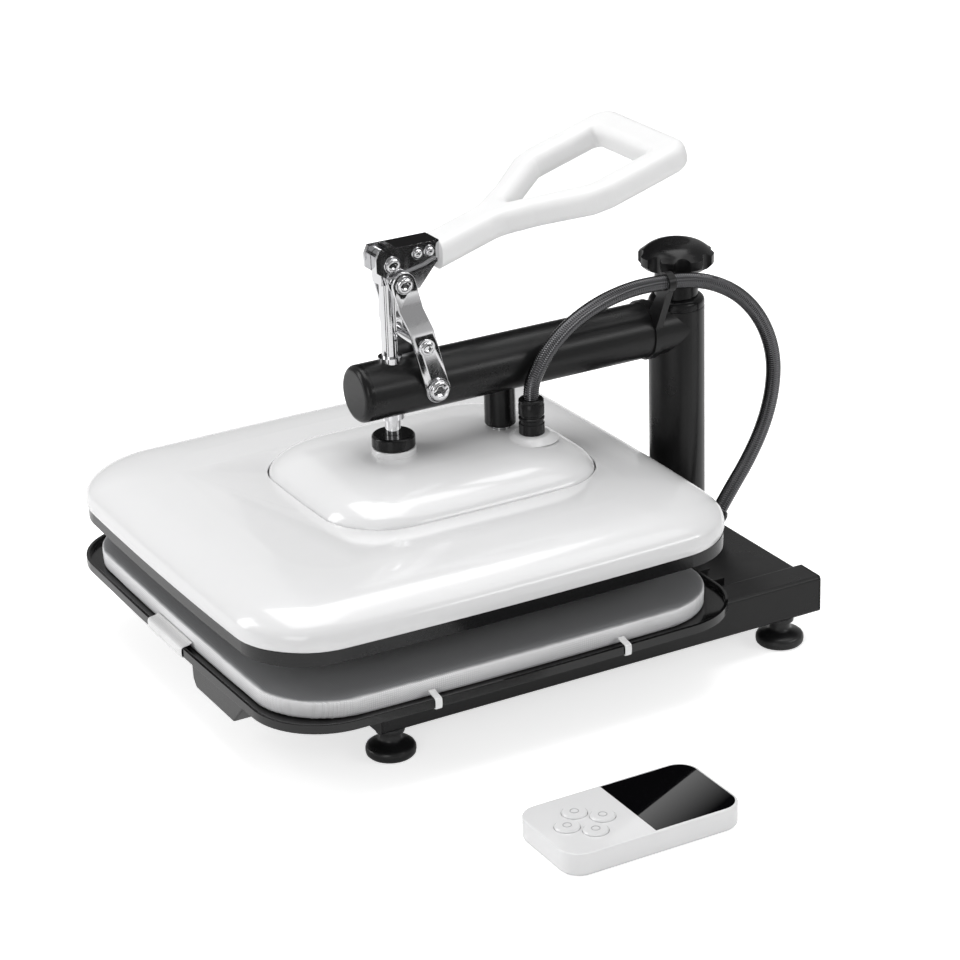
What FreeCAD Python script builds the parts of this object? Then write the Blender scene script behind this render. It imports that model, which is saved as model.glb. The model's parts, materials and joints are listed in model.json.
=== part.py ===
# Swing-away bench heat press with a slide-out bed and a loose control unit.
# Millimetres, +Z up, the user stands at -Y. The sizes below are measured from the press's own
# centre plane and the table; the origin lies under the middle of the whole product.
import FreeCAD, Part
import math
import os
import re
import Sketcher

SIZES = [
    # running and seat clearances
    ("turning_gap", 0.05, "radial gap of shafts that turn or slide"),
    ("seat_gap", 0.02, "radial gap of seated pieces"),
    ("slide_gap", 0.3, "gap between sliding faces"),
    # feet
    ("foot_rise", 24, "underside of the rails"),
    ("foot_disc_radius", 18.5, "foot disc"),
    ("foot_disc_height", 12, "foot disc"),
    ("foot_neck_radius", 8, "foot neck"),
    ("foot_stud_radius", 5, "foot stud"),
    ("foot_stud_reach", 13, "foot stud inside the rail"),
    ("foot_front", -83, "front feet, depth position"),
    ("foot_rear", 255, "rear feet, depth position"),
    # side rails, cross member and rear housing
    ("rail_outer", 160, "outer face of a rail from the centre plane"),
    ("rail_width", 28, "rail tube"),
    ("rail_height", 30, "rail tube"),
    ("rail_wall", 2, "rail tube"),
    ("rail_rounding", 3, "rail tube edges"),
    ("rail_front", -95, "front end of the rails"),
    ("rail_back", 281, "rear end of the rails"),
    ("plug_thick", 2, "end plug plate"),
    ("plug_reach", 6, "end plug spigot"),
    ("cross_depth", 30, "front cross member"),
    ("cross_wall", 2, "front cross member"),
    ("deck_drop", 3, "cross member and housing below the rail tops"),
    ("housing_depth", 73, "rear housing"),
    ("housing_wall", 2.5, "rear housing"),
    ("floor_thick", 2, "housing floor plate"),
    # drawer runners
    ("runner_middle", 116, "runner from the centre plane"),
    ("runner_width", 24, "runner channel"),
    ("runner_wall", 1.4, "runner channel"),
    ("runner_lip", 4, "runner lips"),
    ("runner_back", 216, "rear end of the fixed runners"),
    ("slider_length", 282, "moving slider"),
    # column and sleeve
    ("column_back", 256, "column axis, depth position"),
    ("post_radius", 16.5, "column post"),
    ("post_wall", 3.5, "column post"),
    ("post_top", 224, "column post"),
    ("post_head", 30, "solid head of the post"),
    ("flange_radius", 24.5, "post flange"),
    ("flange_thick", 6, "post flange"),
    ("tube_radius", 22, "sleeve and arm tube"),
    ("tube_wall", 3, "sleeve and arm tube"),
    ("sleeve_bottom", 58, "column sleeve"),
    ("sleeve_top", 232, "column sleeve"),
    ("bush_length", 28, "swivel bush"),
    ("bush_flange", 0.7, "swivel bush flange"),
    ("cap_height", 9, "column cap"),
    ("cap_rounding", 5, "column cap and end cap edges"),
    ("cap_spigot", 6, "spigot of the caps"),
    # clamp knob
    ("knob_bottom", 265, "underside of the lobes"),
    ("knob_radius", 29.5, "over the lobes"),
    ("knob_thick", 13, "lobes"),
    ("knob_dome", 6, "dome over the lobes"),
    ("knob_neck_radius", 17, "knob neck"),
    ("knob_scallop", 8.5, "radius of the hollows between lobes"),
    ("knob_lobes", 8, "lobes"),
    ("knob_stud_radius", 5, "knob stud"),
    ("knob_stud_bottom", 203, "lower end of the knob stud"),
    # arm
    ("arm_level", 217.5, "axis of the arm tube"),
    ("arm_front", -20, "front end of the arm tube"),
    ("end_cap_length", 7, "end cap"),
    ("plunger_back", 4, "plunger axis, depth position"),
    ("rod_radius", 6, "plunger rod"),
    ("bush_radius", 9, "plunger bush"),
    ("bush_bottom", 193, "plunger bush"),
    ("bush_top", 242, "plunger bush"),
    ("guide_back", 96, "guide rod axis, depth position"),
    ("guide_radius", 7, "guide rod"),
    ("guide_top", 208, "guide rod"),
    ("guide_sleeve_radius", 12, "guide sleeve"),
    ("guide_sleeve_bottom", 168, "guide sleeve"),
    ("guide_sleeve_top", 212, "guide sleeve"),
    # toggle linkage
    ("pivot_back", 30.4, "link pivot on the arm, depth position"),
    ("pivot_radius", 6, "link pivot shaft"),
    ("pivot_head", 4, "link pivot heads"),
    ("link_length", 85.8, "between the centres of a side link"),
    ("link_tilt", 13.8, "degrees of the link from upright"),
    ("link_thick", 3, "side link plate"),
    ("link_half", 9.5, "half width of the side link"),
    ("link_lobe", 10, "link ends"),
    ("link_gap", 0.5, "side gap of the links at the arm tube"),
    ("link_high_inside", 14, "upper half of the link from the centre plane"),
    ("crank_bottom", 47, "lower end of the link's crank above the pivot"),
    ("crank_top", 62, "upper end of the link's crank above the pivot"),
    ("tie_rise", 36, "tie bolt above the pivot, along the link"),
    ("tie_radius", 4, "tie bolt"),
    ("stud_radius", 4, "toggle stud"),
    ("stud_head_radius", 7, "toggle stud heads"),
    ("stud_head", 3, "bolt heads"),
    # lever bracket
    ("lever_level", 315.6, "lever pin in the rod's eye"),
    ("lever_pin_radius", 4, "lever pin"),
    ("eye_half_width", 7.5, "rod eye"),
    ("eye_half_depth", 8, "rod eye"),
    ("eye_drop", 15.6, "rod eye below the lever pin"),
    ("eye_rise", 8.4, "rod eye above the lever pin"),
    ("cheek_gap", 0.5, "side gap of the bracket at the eye"),
    ("cheek_thick", 2.5, "bracket plate"),
    ("cheek_boss", 3, "bosses and flanges outside the bracket"),
    ("bracket_nose", 13, "bracket ahead of the lever pin"),
    ("bracket_rise", 12.5, "bracket above the lever pin"),
    ("bracket_reach", 39, "bracket behind the lever pin"),
    ("web_start", 4, "top web behind the lever pin"),
    ("gusset_back", 22, "gusset corner behind the lever pin"),
    ("gusset_drop", 21.6, "gusset corner below the lever pin"),
    ("boss_radius", 6, "bosses of the bracket"),
    # handle
    ("handle_tilt", 16.7, "degrees of the handle from level at rest"),
    ("handle_thick", 21.5, "handle"),
    ("handle_root", 16, "half width of the handle's root"),
    ("handle_half", 61, "half width of the loop"),
    ("handle_length", 202, "handle from its root"),
    ("handle_neck", 52, "length of the parallel root"),
    ("handle_flare", 122, "where the loop reaches its width"),
    ("grip_width", 22, "bar of the loop"),
    ("grip_end", 28, "end bar of the loop"),
    ("opening_start", 72, "narrow end of the opening"),
    ("handle_corner", 18, "outer corners of the loop"),
    ("handle_rounding", 8, "edges of the handle"),
    ("tang_start", 14, "tang behind the lever pin"),
    ("tang_drop", 3.6, "tang below the lever pin"),
    ("handle_bolt_radius", 2.5, "handle bolts"),
    # bed
    ("bed_level", 58, "underside of the pan"),
    ("pan_thick", 3, "pan plate"),
    ("pan_rim", 7, "height of the rim"),
    ("pan_lip", 2.5, "rim wall"),
    ("pan_half_width", 202, "pan"),
    ("pan_half_depth", 195, "pan"),
    ("pan_corner", 56, "pan"),
    ("pan_middle", 4, "middle of the pan, depth position"),
    ("side_bow", 3, "outward bow of the sides of pan and pad"),
    ("pad_side_room", 11, "pad inside the sides of the pan"),
    ("pad_end_room", 9.5, "pad inside the ends of the pan"),
    ("pad_shift", -2, "middle of the pad from the middle of the pan"),
    ("pad_thick", 15, "pad"),
    ("pad_corner", 54, "pad"),
    ("pad_rounding", 2, "upper edge of the pad"),
    ("strap_front", -72, "front straps, depth position"),
    ("strap_rear", 84, "rear straps, depth position"),
    ("strap_width", 5.5, "elastic strap"),
    ("strap_thick", 1.2, "elastic strap"),
    ("strap_under", 10, "strap below the pan"),
    ("band_left", -39, "front band, left end"),
    ("band_right", 30, "front band, right end"),
    ("pull_left", 38, "pull, left end"),
    ("pull_right", 128, "pull, right end"),
    ("pull_drop", 20, "pull below the pan"),
    ("pull_depth", 24, "pull"),
    ("pull_wall", 4, "pull"),
    ("pull_inset", 3, "pull behind the pan's front edge"),
    # platen
    ("press_gap", 27.5, "platen above the pad when open"),
    ("platen_middle", 6.5, "middle of the platen, depth position"),
    ("heat_half_width", 187, "heat plate"),
    ("heat_half_depth", 198, "heat plate"),
    ("heat_corner", 53, "heat plate"),
    ("heat_thick", 10.5, "heat plate"),
    ("heat_step", 1.5, "raised face of the heat plate"),
    ("heat_inset", 6, "raised face of the heat plate"),
    ("element_thick", 1.5, "heating element"),
    ("insulation_thick", 10.5, "insulation"),
    ("mount_thick", 6, "mounting plate"),
    ("mount_half_width", 78, "mounting plate"),
    ("mount_half_depth", 98, "mounting plate"),
    ("hub_radius", 15, "rod hub"),
    ("hub_height", 11, "rod hub"),
    ("cover_wall", 3, "moulded cover"),
    ("cover_height", 31.5, "moulded cover"),
    ("cover_side_room", 1.5, "cover outside the sides of the heat plate"),
    ("cover_end_room", 1.8, "cover outside the ends of the heat plate"),
    ("cover_corner", 55, "moulded cover"),
    ("cover_bow", 4.4, "outward bow of the cover's sides"),
    ("cover_shoulder", 60, "width of the cover's rounded shoulder"),
    ("panel_middle", 35, "middle of the raised panel, depth position"),
    ("panel_half_width", 92, "raised panel"),
    ("panel_half_depth", 113, "raised panel"),
    ("panel_height", 24.5, "raised panel from its lower edge"),
    ("panel_sink", 4.5, "panel edge below the top of the cover"),
    ("panel_corner", 46, "raised panel"),
    ("panel_bow", 3, "outward bow of the panel's sides"),
    ("panel_shoulder", 55, "width of the panel's rounded shoulder"),
    ("panel_seam", 0.3, "gap round the panel"),
    ("ring_radius", 17, "ring on the panel round the plunger"),
    ("ring_rise", 4.5, "ring on the panel round the plunger"),
    ("collar_radius", 16.5, "plunger collar"),
    ("collar_height", 10.4, "plunger collar"),
    # hose
    ("hose_radius", 6, "corrugated hose"),
    ("gland_side", 30, "platen gland from the centre plane"),
    ("gland_back", 106.5, "platen gland, depth position"),
    ("gland_radius", 10, "platen gland"),
    ("gland_rise", 2.5, "gland seat above the panel"),
    ("gland_height", 28, "platen gland"),
    ("clip_side", 35, "hose clip from the centre plane"),
    ("clip_back", 226, "hose clip, depth position"),
    ("clip_level", 266.5, "hose clip"),
    ("clip_width", 6, "hose clip"),
    ("clip_wall", 1.5, "hose clip"),
    ("hose_joint", 0.15, "ends of the two lengths of hose from the middle of the clip"),
    ("outlet_side", 45, "upper end of the base gland"),
    ("outlet_back", 267, "upper end of the base gland"),
    ("outlet_level", 72.3, "upper end of the base gland"),
    ("outlet_tilt", 35, "degrees of the base gland from upright"),
    ("outlet_radius", 8.5, "base gland"),
    # mains side
    ("inlet_side", -92, "mains inlet from the centre plane"),
    ("inlet_width", 31, "mains inlet flange"),
    ("inlet_height", 23, "mains inlet flange"),
    ("inlet_lip", 1.5, "mains inlet flange"),
    ("inlet_reach", 18, "mains inlet body"),
    ("switch_side", -46, "mains switch from the centre plane"),
    ("switch_width", 14, "mains switch"),
    ("switch_height", 15, "mains switch"),
    ("switch_depth", 6, "mains switch behind the housing's rear face"),
    ("switch_axle", 4.5, "axle of the switch behind the housing's rear face"),
    ("switch_pin_radius", 1.2, "axle pins of the switch"),
    ("switch_pin_reach", 1.5, "axle pins of the switch"),
    # control unit
    ("control_inner", 295.5, "near face of the control unit"),
    ("control_width", 76, "control unit"),
    ("control_length", 140, "control unit"),
    ("control_middle", 3, "middle of the control unit, depth position"),
    ("control_height", 18, "control unit"),
    ("control_corner", 16, "control unit"),
    ("control_edge", 4, "lower edges of the control unit"),
    ("glass_length", 70, "glass face"),
    ("glass_thick", 1.6, "glass face"),
    ("glass_margin", 2, "glass face from the edges"),
    ("display_width", 46, "display"),
    ("display_length", 34, "display"),
    ("display_thick", 2, "display"),
    ("button_radius", 9, "round button"),
    ("button_pitch", 14, "buttons from the middle of their group"),
    ("button_drop", 36, "middle of the button group ahead of the unit's middle"),
    ("button_thick", 4, "round button"),
    ("button_proud", 1.6, "round button above the unit"),
    ("button_gap", 0.3, "gap round a button"),
    ("button_floor", 1.2, "room under a button"),
]

DERIVED = {
    "rail_inner": "rail_outer - rail_width",
    "rail_middle": "rail_outer - rail_width / 2",
    "rail_top": "foot_rise + rail_height",
    "deck": "rail_top - deck_drop",
    "housing_front": "rail_back - housing_depth",
    "runner_height": "bed_level - deck - 1",
    "bore_radius": "tube_radius - tube_wall",
    "cap_top": "sleeve_top + cap_height",
    "pin_back": "pivot_back - link_length * sin(link_tilt)",
    "pin_level": "arm_level + link_length * cos(link_tilt)",
    "pin_behind": "pin_back - plunger_back",
    "pin_above": "pin_level - lever_level",
    "tie_back": "pivot_back - tie_rise * sin(link_tilt)",
    "tie_level": "arm_level + tie_rise * cos(link_tilt)",
    "link_low_inside": "tube_radius + link_gap",
    "link_outside": "link_low_inside + link_thick",
    "cheek_inside": "eye_half_width + cheek_gap",
    "cheek_outside": "cheek_inside + cheek_thick",
    "boss_outside": "cheek_outside + cheek_boss",
    "bracket_end": "plunger_back + bracket_reach",
    "pad_half_width": "pan_half_width - pad_side_room",
    "pad_half_depth": "pan_half_depth - pad_end_room",
    "pad_middle": "pan_middle + pad_shift",
    "bed_top": "bed_level + pan_thick",
    "rim_top": "bed_level + pan_rim",
    "pad_top": "bed_top + pad_thick",
    "platen_bottom": "pad_top + press_gap",
    "heat_shelf": "platen_bottom + heat_thick",
    "heat_top": "heat_shelf + heat_step",
    "element_top": "heat_top + element_thick",
    "insulation_top": "element_top + insulation_thick",
    "mount_top": "insulation_top + mount_thick",
    "cover_half_width": "heat_half_width + cover_side_room",
    "cover_half_depth": "heat_half_depth + cover_end_room",
    "cover_top": "heat_shelf + cover_height",
    "panel_bottom": "cover_top - panel_sink",
    "panel_top": "panel_bottom + panel_height",
    "ring_top": "panel_top + ring_rise",
    "gland_bottom": "panel_top + gland_rise",
    "gland_top": "gland_bottom + gland_height",
    "control_outer": "control_inner + control_width",
    "control_axis": "control_inner + control_width / 2",
    "control_front": "control_middle - control_length / 2",
    "control_rear": "control_middle + control_length / 2",
    "button_back": "control_middle - button_drop",
    "outlet_foot": "outlet_back - (outlet_level - deck) * sin(outlet_tilt) / cos(outlet_tilt)",
    "inlet_level": "(deck + foot_rise + floor_thick) / 2",
    "inlet_bottom": "inlet_level - inlet_height / 2",
    "inlet_top": "inlet_level + inlet_height / 2",
    "switch_reach": "switch_height / 2 - 1.1",
    "switch_wall": "switch_width / 2 + 1.8",
    "pan_front": "pan_middle - pan_half_depth",
    "strap_fall": "side_bow * ((strap_front - pan_middle) / (pan_half_depth - side_bow)) ^ 2 - 0.1",
    "strap_fall_rear": "side_bow * ((strap_rear - pan_middle) / (pan_half_depth - side_bow)) ^ 2 - 0.1",
    "frame_x": "(control_outer - pan_half_width + strap_fall - strap_thick) / 2",
    "frame_y": "(column_back + knob_radius + platen_middle - cover_half_depth - cover_shoulder * 0.015) / 2",
}

# Shoulder profiles: share of the height, share of the shoulder's width
COVER_PROFILE = ((0, 0), (0.17, -0.015), (0.35, 0), (0.46, 0.028), (0.56, 0.075), (0.65, 0.135), (0.73, 0.208),
                 (0.8, 0.3), (0.86, 0.41), (0.91, 0.54), (0.96, 0.74), (1, 1))
PANEL_PROFILE = ((0, 0), (0.2, 0.015), (0.38, 0.065), (0.5, 0.12), (0.61, 0.19), (0.71, 0.275), (0.8, 0.38),
                 (0.87, 0.5), (0.93, 0.65), (0.97, 0.8), (1, 1))

# Route of the hose: side, depth and height of each corner, in order
HOSE_UPPER = ((30.0, 106.5, 206.0), (30.6, 112.3, 217.8), (31.1, 119.8, 229.2), (31.7, 130.0, 239.9),
              (32.2, 142.3, 249.2), (32.8, 156.5, 256.8), (33.3, 172.8, 262.6), (33.9, 191.0, 266.3),
              (34.4, 209.0, 267.4))
HOSE_LOWER = ((35.5, 239.5, 266.0), (37.5, 264.5, 260.0), (38.5, 290.5, 244.5), (40.5, 309.5, 220.5),
              (43.0, 318.5, 192.0), (44.5, 317.0, 163.0), (45.0, 308.0, 134.0), (45.0, 293.0, 107.6),
              (45.0, 277.01, 86.6))

document = FreeCAD.newDocument("heat_press")
sizes = document.addObject("Spreadsheet::Sheet", "sizes")
ALIASES = {alias for alias, number, meaning in SIZES}
WORD = re.compile(r"[a-z][a-z_]*")
places = {}
nodes = []


def fill_sheet():
    for row, (alias, number, meaning) in enumerate(SIZES, start=1):
        sizes.set(f"A{row}", meaning)
        sizes.set(f"B{row}", str(number))
        sizes.setAlias(f"B{row}", alias)
    document.recompute()


def formula(text):
    """Write out a formula in the names of SIZES and DERIVED for the document."""
    def one(match):
        word = match.group(0)
        if word in DERIVED:
            return "(" + formula(DERIVED[word]) + ")"
        return "sizes." + word if word in ALIASES else word
    return WORD.sub(one, str(text))


def value(text):
    """The present number of a formula."""
    result = sizes.evalExpression(formula(text))
    return float(getattr(result, "Value", result))


def bind(thing, name, text):
    thing.setExpression(name, formula(text))


def point(x, y, z):
    return FreeCAD.Vector(value(x), value(y), value(z))


# ---------------------------------------------------------------- placing and naming

AXIS_TURNS = {
    "x": FreeCAD.Rotation(FreeCAD.Vector(0, 1, 0), 90),
    "y": FreeCAD.Rotation(FreeCAD.Vector(1, 0, 0), -90),
    "z": FreeCAD.Rotation(),
}


def locate(thing, x="0", y="0", z="0", turn=None):
    """Put a piece at a point of the press, with its sizes bound."""
    thing.Placement = FreeCAD.Placement(point(x, y, z), turn or FreeCAD.Rotation())
    places[thing.Name] = (x, y, z)
    for letter, text in zip("xyz", (x, y, z)):
        bind(thing, "Placement.Base." + letter, text)
    return thing


def as_node(thing, label):
    """Give a finished piece its label and bring it from the press's plane to the origin."""
    x, y, z = places.get(thing.Name, ("0", "0", "0"))
    bind(thing, "Placement.Base.x", f"{x} - frame_x")
    bind(thing, "Placement.Base.y", f"{y} - frame_y")
    bind(thing, "Placement.Base.z", z)
    thing.Label = label
    nodes.append(thing)
    return thing


# ---------------------------------------------------------------- primitives and booleans

def box(name, x, y, z):
    """A box between two values along each axis."""
    thing = document.addObject("Part::Box", name)
    for size, (low, high) in zip(("Length", "Width", "Height"), (x, y, z)):
        bind(thing, size, f"({high}) - ({low})")
    return locate(thing, x[0], y[0], z[0])


def cylinder(name, radius, length, x="0", y="0", z="0", along="z"):
    thing = document.addObject("Part::Cylinder", name)
    bind(thing, "Radius", radius)
    bind(thing, "Height", length)
    return locate(thing, x, y, z, AXIS_TURNS[along])


def cone(name, lower, upper, length, x="0", y="0", z="0"):
    thing = document.addObject("Part::Cone", name)
    bind(thing, "Radius1", lower)
    bind(thing, "Radius2", upper)
    bind(thing, "Height", length)
    return locate(thing, x, y, z)


def shaft(name, radius, half, y, z):
    """A cylinder across the press, centred on its middle plane."""
    return cylinder(name, radius, f"2 * ({half})", f"-({half})", y, z, "x")


def pair(name, radius, inside, outside, y, z):
    """Two equal cylinders across the press, one on each side."""
    length = f"({outside}) - ({inside})"
    near = cylinder(name + "_near", radius, length, inside, y, z, "x")
    far = cylinder(name + "_far", radius, length, f"-({outside})", y, z, "x")
    return [near, far]


def fuse(name, parts):
    thing = document.addObject("Part::MultiFuse", name)
    thing.Shapes = parts
    thing.Refine = True
    return thing


def cut(name, base, tools):
    thing = document.addObject("Part::Cut", name)
    thing.Base = base
    thing.Tool = tools[0] if len(tools) == 1 else fuse(name + "_tools", tools)
    return thing


def common(name, first, second):
    thing = document.addObject("Part::Common", name)
    thing.Base = first
    thing.Tool = second
    return thing


# ---------------------------------------------------------------- sketches and features

PLANES = {"XY": "XY_Plane", "XZ": "XZ_Plane", "YZ": "YZ_Plane"}


def origin_feature(body, role):
    return next(item for item in body.Origin.OriginFeatures if item.Role == role)


def new_body(name):
    return document.addObject("PartDesign::Body", name)


def new_sketch(body, name, plane, lift="0"):
    sketch = body.newObject("Sketcher::SketchObject", name)
    sketch.AttachmentSupport = [(origin_feature(body, PLANES[plane]), "")]
    sketch.MapMode = "FlatFace"
    bind(sketch, "AttachmentOffset.Base.z", lift)
    return sketch


def bind_constraint(sketch, kind, places_of, text):
    number = sketch.addConstraint(Sketcher.Constraint(kind, *places_of, value(text)))
    sketch.setExpression(f"Constraints[{number}]", formula(text))


def bulged(start, end, bulge):
    """The arc between two corners that stands out to the right of the way by the bulge."""
    way = end - start
    side = FreeCAD.Vector(way.y, -way.x, 0).normalize()
    return Part.Arc(start, (start + end) * 0.5 + side * bulge, end)


def draw_outline(sketch, corners):
    """A closed outline; each corner is (across, up) or (across, up, bulge of the side after it)."""
    spots = [FreeCAD.Vector(value(corner[0]), value(corner[1]), 0) for corner in corners]
    count = len(corners)
    for number, corner in enumerate(corners):
        start, end = spots[number], spots[(number + 1) % count]
        if len(corner) == 3:
            sketch.addGeometry(bulged(start, end, value(corner[2])), False)
        else:
            sketch.addGeometry(Part.LineSegment(start, end), False)
    for number in range(count):
        after = (number + 1) % count
        ends = [end_point(sketch, number, spots[after]), end_point(sketch, after, spots[after])]
        sketch.addConstraint(Sketcher.Constraint("Coincident", number, ends[0], after, ends[1]))
    for number, corner in enumerate(corners):
        start = end_point(sketch, number, spots[number])
        bind_constraint(sketch, "DistanceX", (-1, 1, number, start), corner[0])
        bind_constraint(sketch, "DistanceY", (-1, 1, number, start), corner[1])
        if len(corner) == 3:
            after = corners[(number + 1) % count]
            half = f"((({after[0]}) - ({corner[0]})) ^ 2 + (({after[1]}) - ({corner[1]})) ^ 2) / 4"
            radius = f"(({half}) + ({corner[2]}) ^ 2) / (2 * ({corner[2]}))"
            bind_constraint(sketch, "Radius", (number,), radius)
    return sketch


def end_point(sketch, number, spot):
    """1 for the start or 2 for the end of an edge, whichever lies at the spot."""
    first = sketch.getPoint(number, 1).distanceToPoint(spot)
    return 1 if first < sketch.getPoint(number, 2).distanceToPoint(spot) else 2


def draw_circle(sketch, x, y, radius):
    number = sketch.addGeometry(Part.Circle(point(x, y, "0"), FreeCAD.Vector(0, 0, 1), value(radius)), False)
    bind_constraint(sketch, "DistanceX", (-1, 1, number, 3), x)
    bind_constraint(sketch, "DistanceY", (-1, 1, number, 3), y)
    bind_constraint(sketch, "Radius", (number,), radius)
    return sketch


def pad(body, name, plane, corners, low, high):
    """Extrude an outline between two levels along the plane's axis."""
    lift = f"-({high})" if plane == "XZ" else low
    sketch = draw_outline(new_sketch(body, name + "_sketch", plane, lift), corners)
    feature = body.newObject("PartDesign::Pad", name)
    feature.Profile = sketch
    bind(feature, "Length", f"({high}) - ({low})")
    document.recompute()
    return feature


def pocket(body, name, plane, corners, low, high):
    """Take an extruded outline between two levels out of the body."""
    sketch = new_sketch(body, name + "_sketch", plane, f"-({low})" if plane == "XZ" else high)
    if isinstance(corners[0], str):
        draw_circle(sketch, *corners)
    else:
        draw_outline(sketch, corners)
    before = body.Shape.Volume
    feature = body.newObject("PartDesign::Pocket", name)
    feature.Profile = sketch
    bind(feature, "Length", f"({high}) - ({low})")
    document.recompute()
    if body.Shape.Volume > before - 1e-3:
        raise RuntimeError(name + " cuts nothing")
    return feature


def revolve(body, name, corners):
    """Turn a profile of (radius, height) corners about the body's Z axis."""
    sketch = draw_outline(new_sketch(body, name + "_sketch", "XZ"), corners)
    feature = body.newObject("PartDesign::Revolution", name)
    feature.Profile = sketch
    feature.ReferenceAxis = (origin_feature(body, "Z_Axis"), [""])
    feature.Angle = 360
    document.recompute()
    return feature


def round_edges(body, name, base, edges, radius):
    feature = body.newObject("PartDesign::Fillet", name)
    feature.Base = (base, edges)
    bind(feature, "Radius", radius)
    document.recompute()
    return feature


def edges_along(feature, direction, test=None):
    """Names of the straight edges along an axis whose middle passes the test."""
    found = []
    for number, edge in enumerate(feature.Shape.Edges, start=1):
        if edge.Curve.TypeId != "Part::GeomLine":
            continue
        way = edge.tangentAt(edge.FirstParameter)
        if abs(abs(way.dot(direction)) - 1) < 1e-6 and (test is None or test(edge.CenterOfMass)):
            found.append(f"Edge{number}")
    return found


def edges_level(feature, level, test=None):
    """Names of the edges that lie wholly at one height."""
    found = []
    for number, edge in enumerate(feature.Shape.Edges, start=1):
        box_of = edge.BoundBox
        flat = abs(box_of.ZMin - level) < 1e-4 and abs(box_of.ZMax - level) < 1e-4
        if flat and (test is None or test(edge.CenterOfMass)):
            found.append(f"Edge{number}")
    return found


X = FreeCAD.Vector(1, 0, 0)
Y = FreeCAD.Vector(0, 1, 0)
Z = FreeCAD.Vector(0, 0, 1)


def rectangle(low, high, near, far):
    return [(low, near), (high, near), (high, far), (low, far)]


def bowed(half_width, half_depth, middle, bow):
    """A rectangle whose four sides stand out by the bow; its corners are rounded later."""
    wide = f"({half_width}) - ({bow})"
    deep = f"({half_depth}) - ({bow})"
    return [(f"-({wide})", f"({middle}) - ({deep})", bow), (wide, f"({middle}) - ({deep})", bow),
            (wide, f"({middle}) + ({deep})", bow), (f"-({wide})", f"({middle}) + ({deep})", bow)]


def slab(name, half_width, half_depth, middle, bow, corner, low, high):
    """A plate with bowed sides and rounded corners."""
    body = new_body(name)
    plate = pad(body, name + "_plate", "XY", bowed(half_width, half_depth, middle, bow), low, high)
    round_edges(body, name + "_corners", plate, edges_along(plate, Z), corner)
    return body


# ---------------------------------------------------------------- base

def make_rails():
    for side, sign in (("left", "-1"), ("right", "1")):
        body = new_body("rail_tube_" + side)
        middle = f"{sign} * rail_middle"
        outer = rectangle(f"{middle} - rail_width / 2", f"{middle} + rail_width / 2", "foot_rise", "rail_top")
        tube = pad(body, "rail_tube_pad_" + side, "XZ", outer, "rail_front", "rail_back")
        round_edges(body, "rail_tube_edges_" + side, tube, edges_along(tube, Y), "rail_rounding")
        inner = rectangle(f"{middle} - rail_width / 2 + rail_wall", f"{middle} + rail_width / 2 - rail_wall",
                          "foot_rise + rail_wall", "rail_top - rail_wall")
        pocket(body, "rail_bore_" + side, "XZ", inner, "rail_front - 1", "rail_back + 1")
        holes = [cylinder(f"foot_hole_{side}_{number}", "foot_stud_radius + turning_gap", "rail_wall + 2",
                          middle, back, "foot_rise - 1")
                 for number, back in enumerate(("foot_front", "foot_rear"))]
        as_node(cut("rail_cut_" + side, body, holes), "rail_" + side)


def make_rail_plugs():
    parts = []
    ends = (("rail_front - plug_thick", "rail_front", "rail_front", "rail_front + plug_reach"),
            ("rail_back", "rail_back + plug_thick", "rail_back - plug_reach", "rail_back"))
    for sign in ("-1", "1"):
        for number, (low, high, inner, outer) in enumerate(ends):
            tag = f"{'left' if sign == '-1' else 'right'}_{number}"
            middle = f"{sign} * rail_middle"
            half = "rail_width / 2"
            gap = "(rail_width / 2 - rail_wall - seat_gap)"
            plate = new_body("plug_plate_" + tag)
            cap = pad(plate, "plug_pad_" + tag, "XZ",
                      rectangle(f"{middle} - {half}", f"{middle} + {half}", "foot_rise", "rail_top"), low, high)
            round_edges(plate, "plug_edges_" + tag, cap, edges_along(cap, Y), "rail_rounding")
            parts.append(plate)
            parts.append(box("plug_spigot_" + tag, (f"{middle} - {gap}", f"{middle} + {gap}"), (inner, outer),
                             ("foot_rise + rail_wall + seat_gap", "rail_top - rail_wall - seat_gap")))
    as_node(fuse("plug_set", parts), "rail_plugs")


def make_cross_member():
    body = new_body("cross_tube")
    back = "rail_front + cross_depth"
    tube = pad(body, "cross_pad", "YZ", rectangle("rail_front", back, "foot_rise", "deck"),
               "-rail_inner", "rail_inner")
    round_edges(body, "cross_edges", tube, edges_along(tube, X), "rail_rounding")
    pocket(body, "cross_bore", "YZ",
           rectangle("rail_front + cross_wall", f"{back} - cross_wall", "foot_rise + cross_wall",
                     "deck - cross_wall"), "-rail_inner - 1", "rail_inner + 1")
    as_node(body, "front_crossmember")


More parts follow.
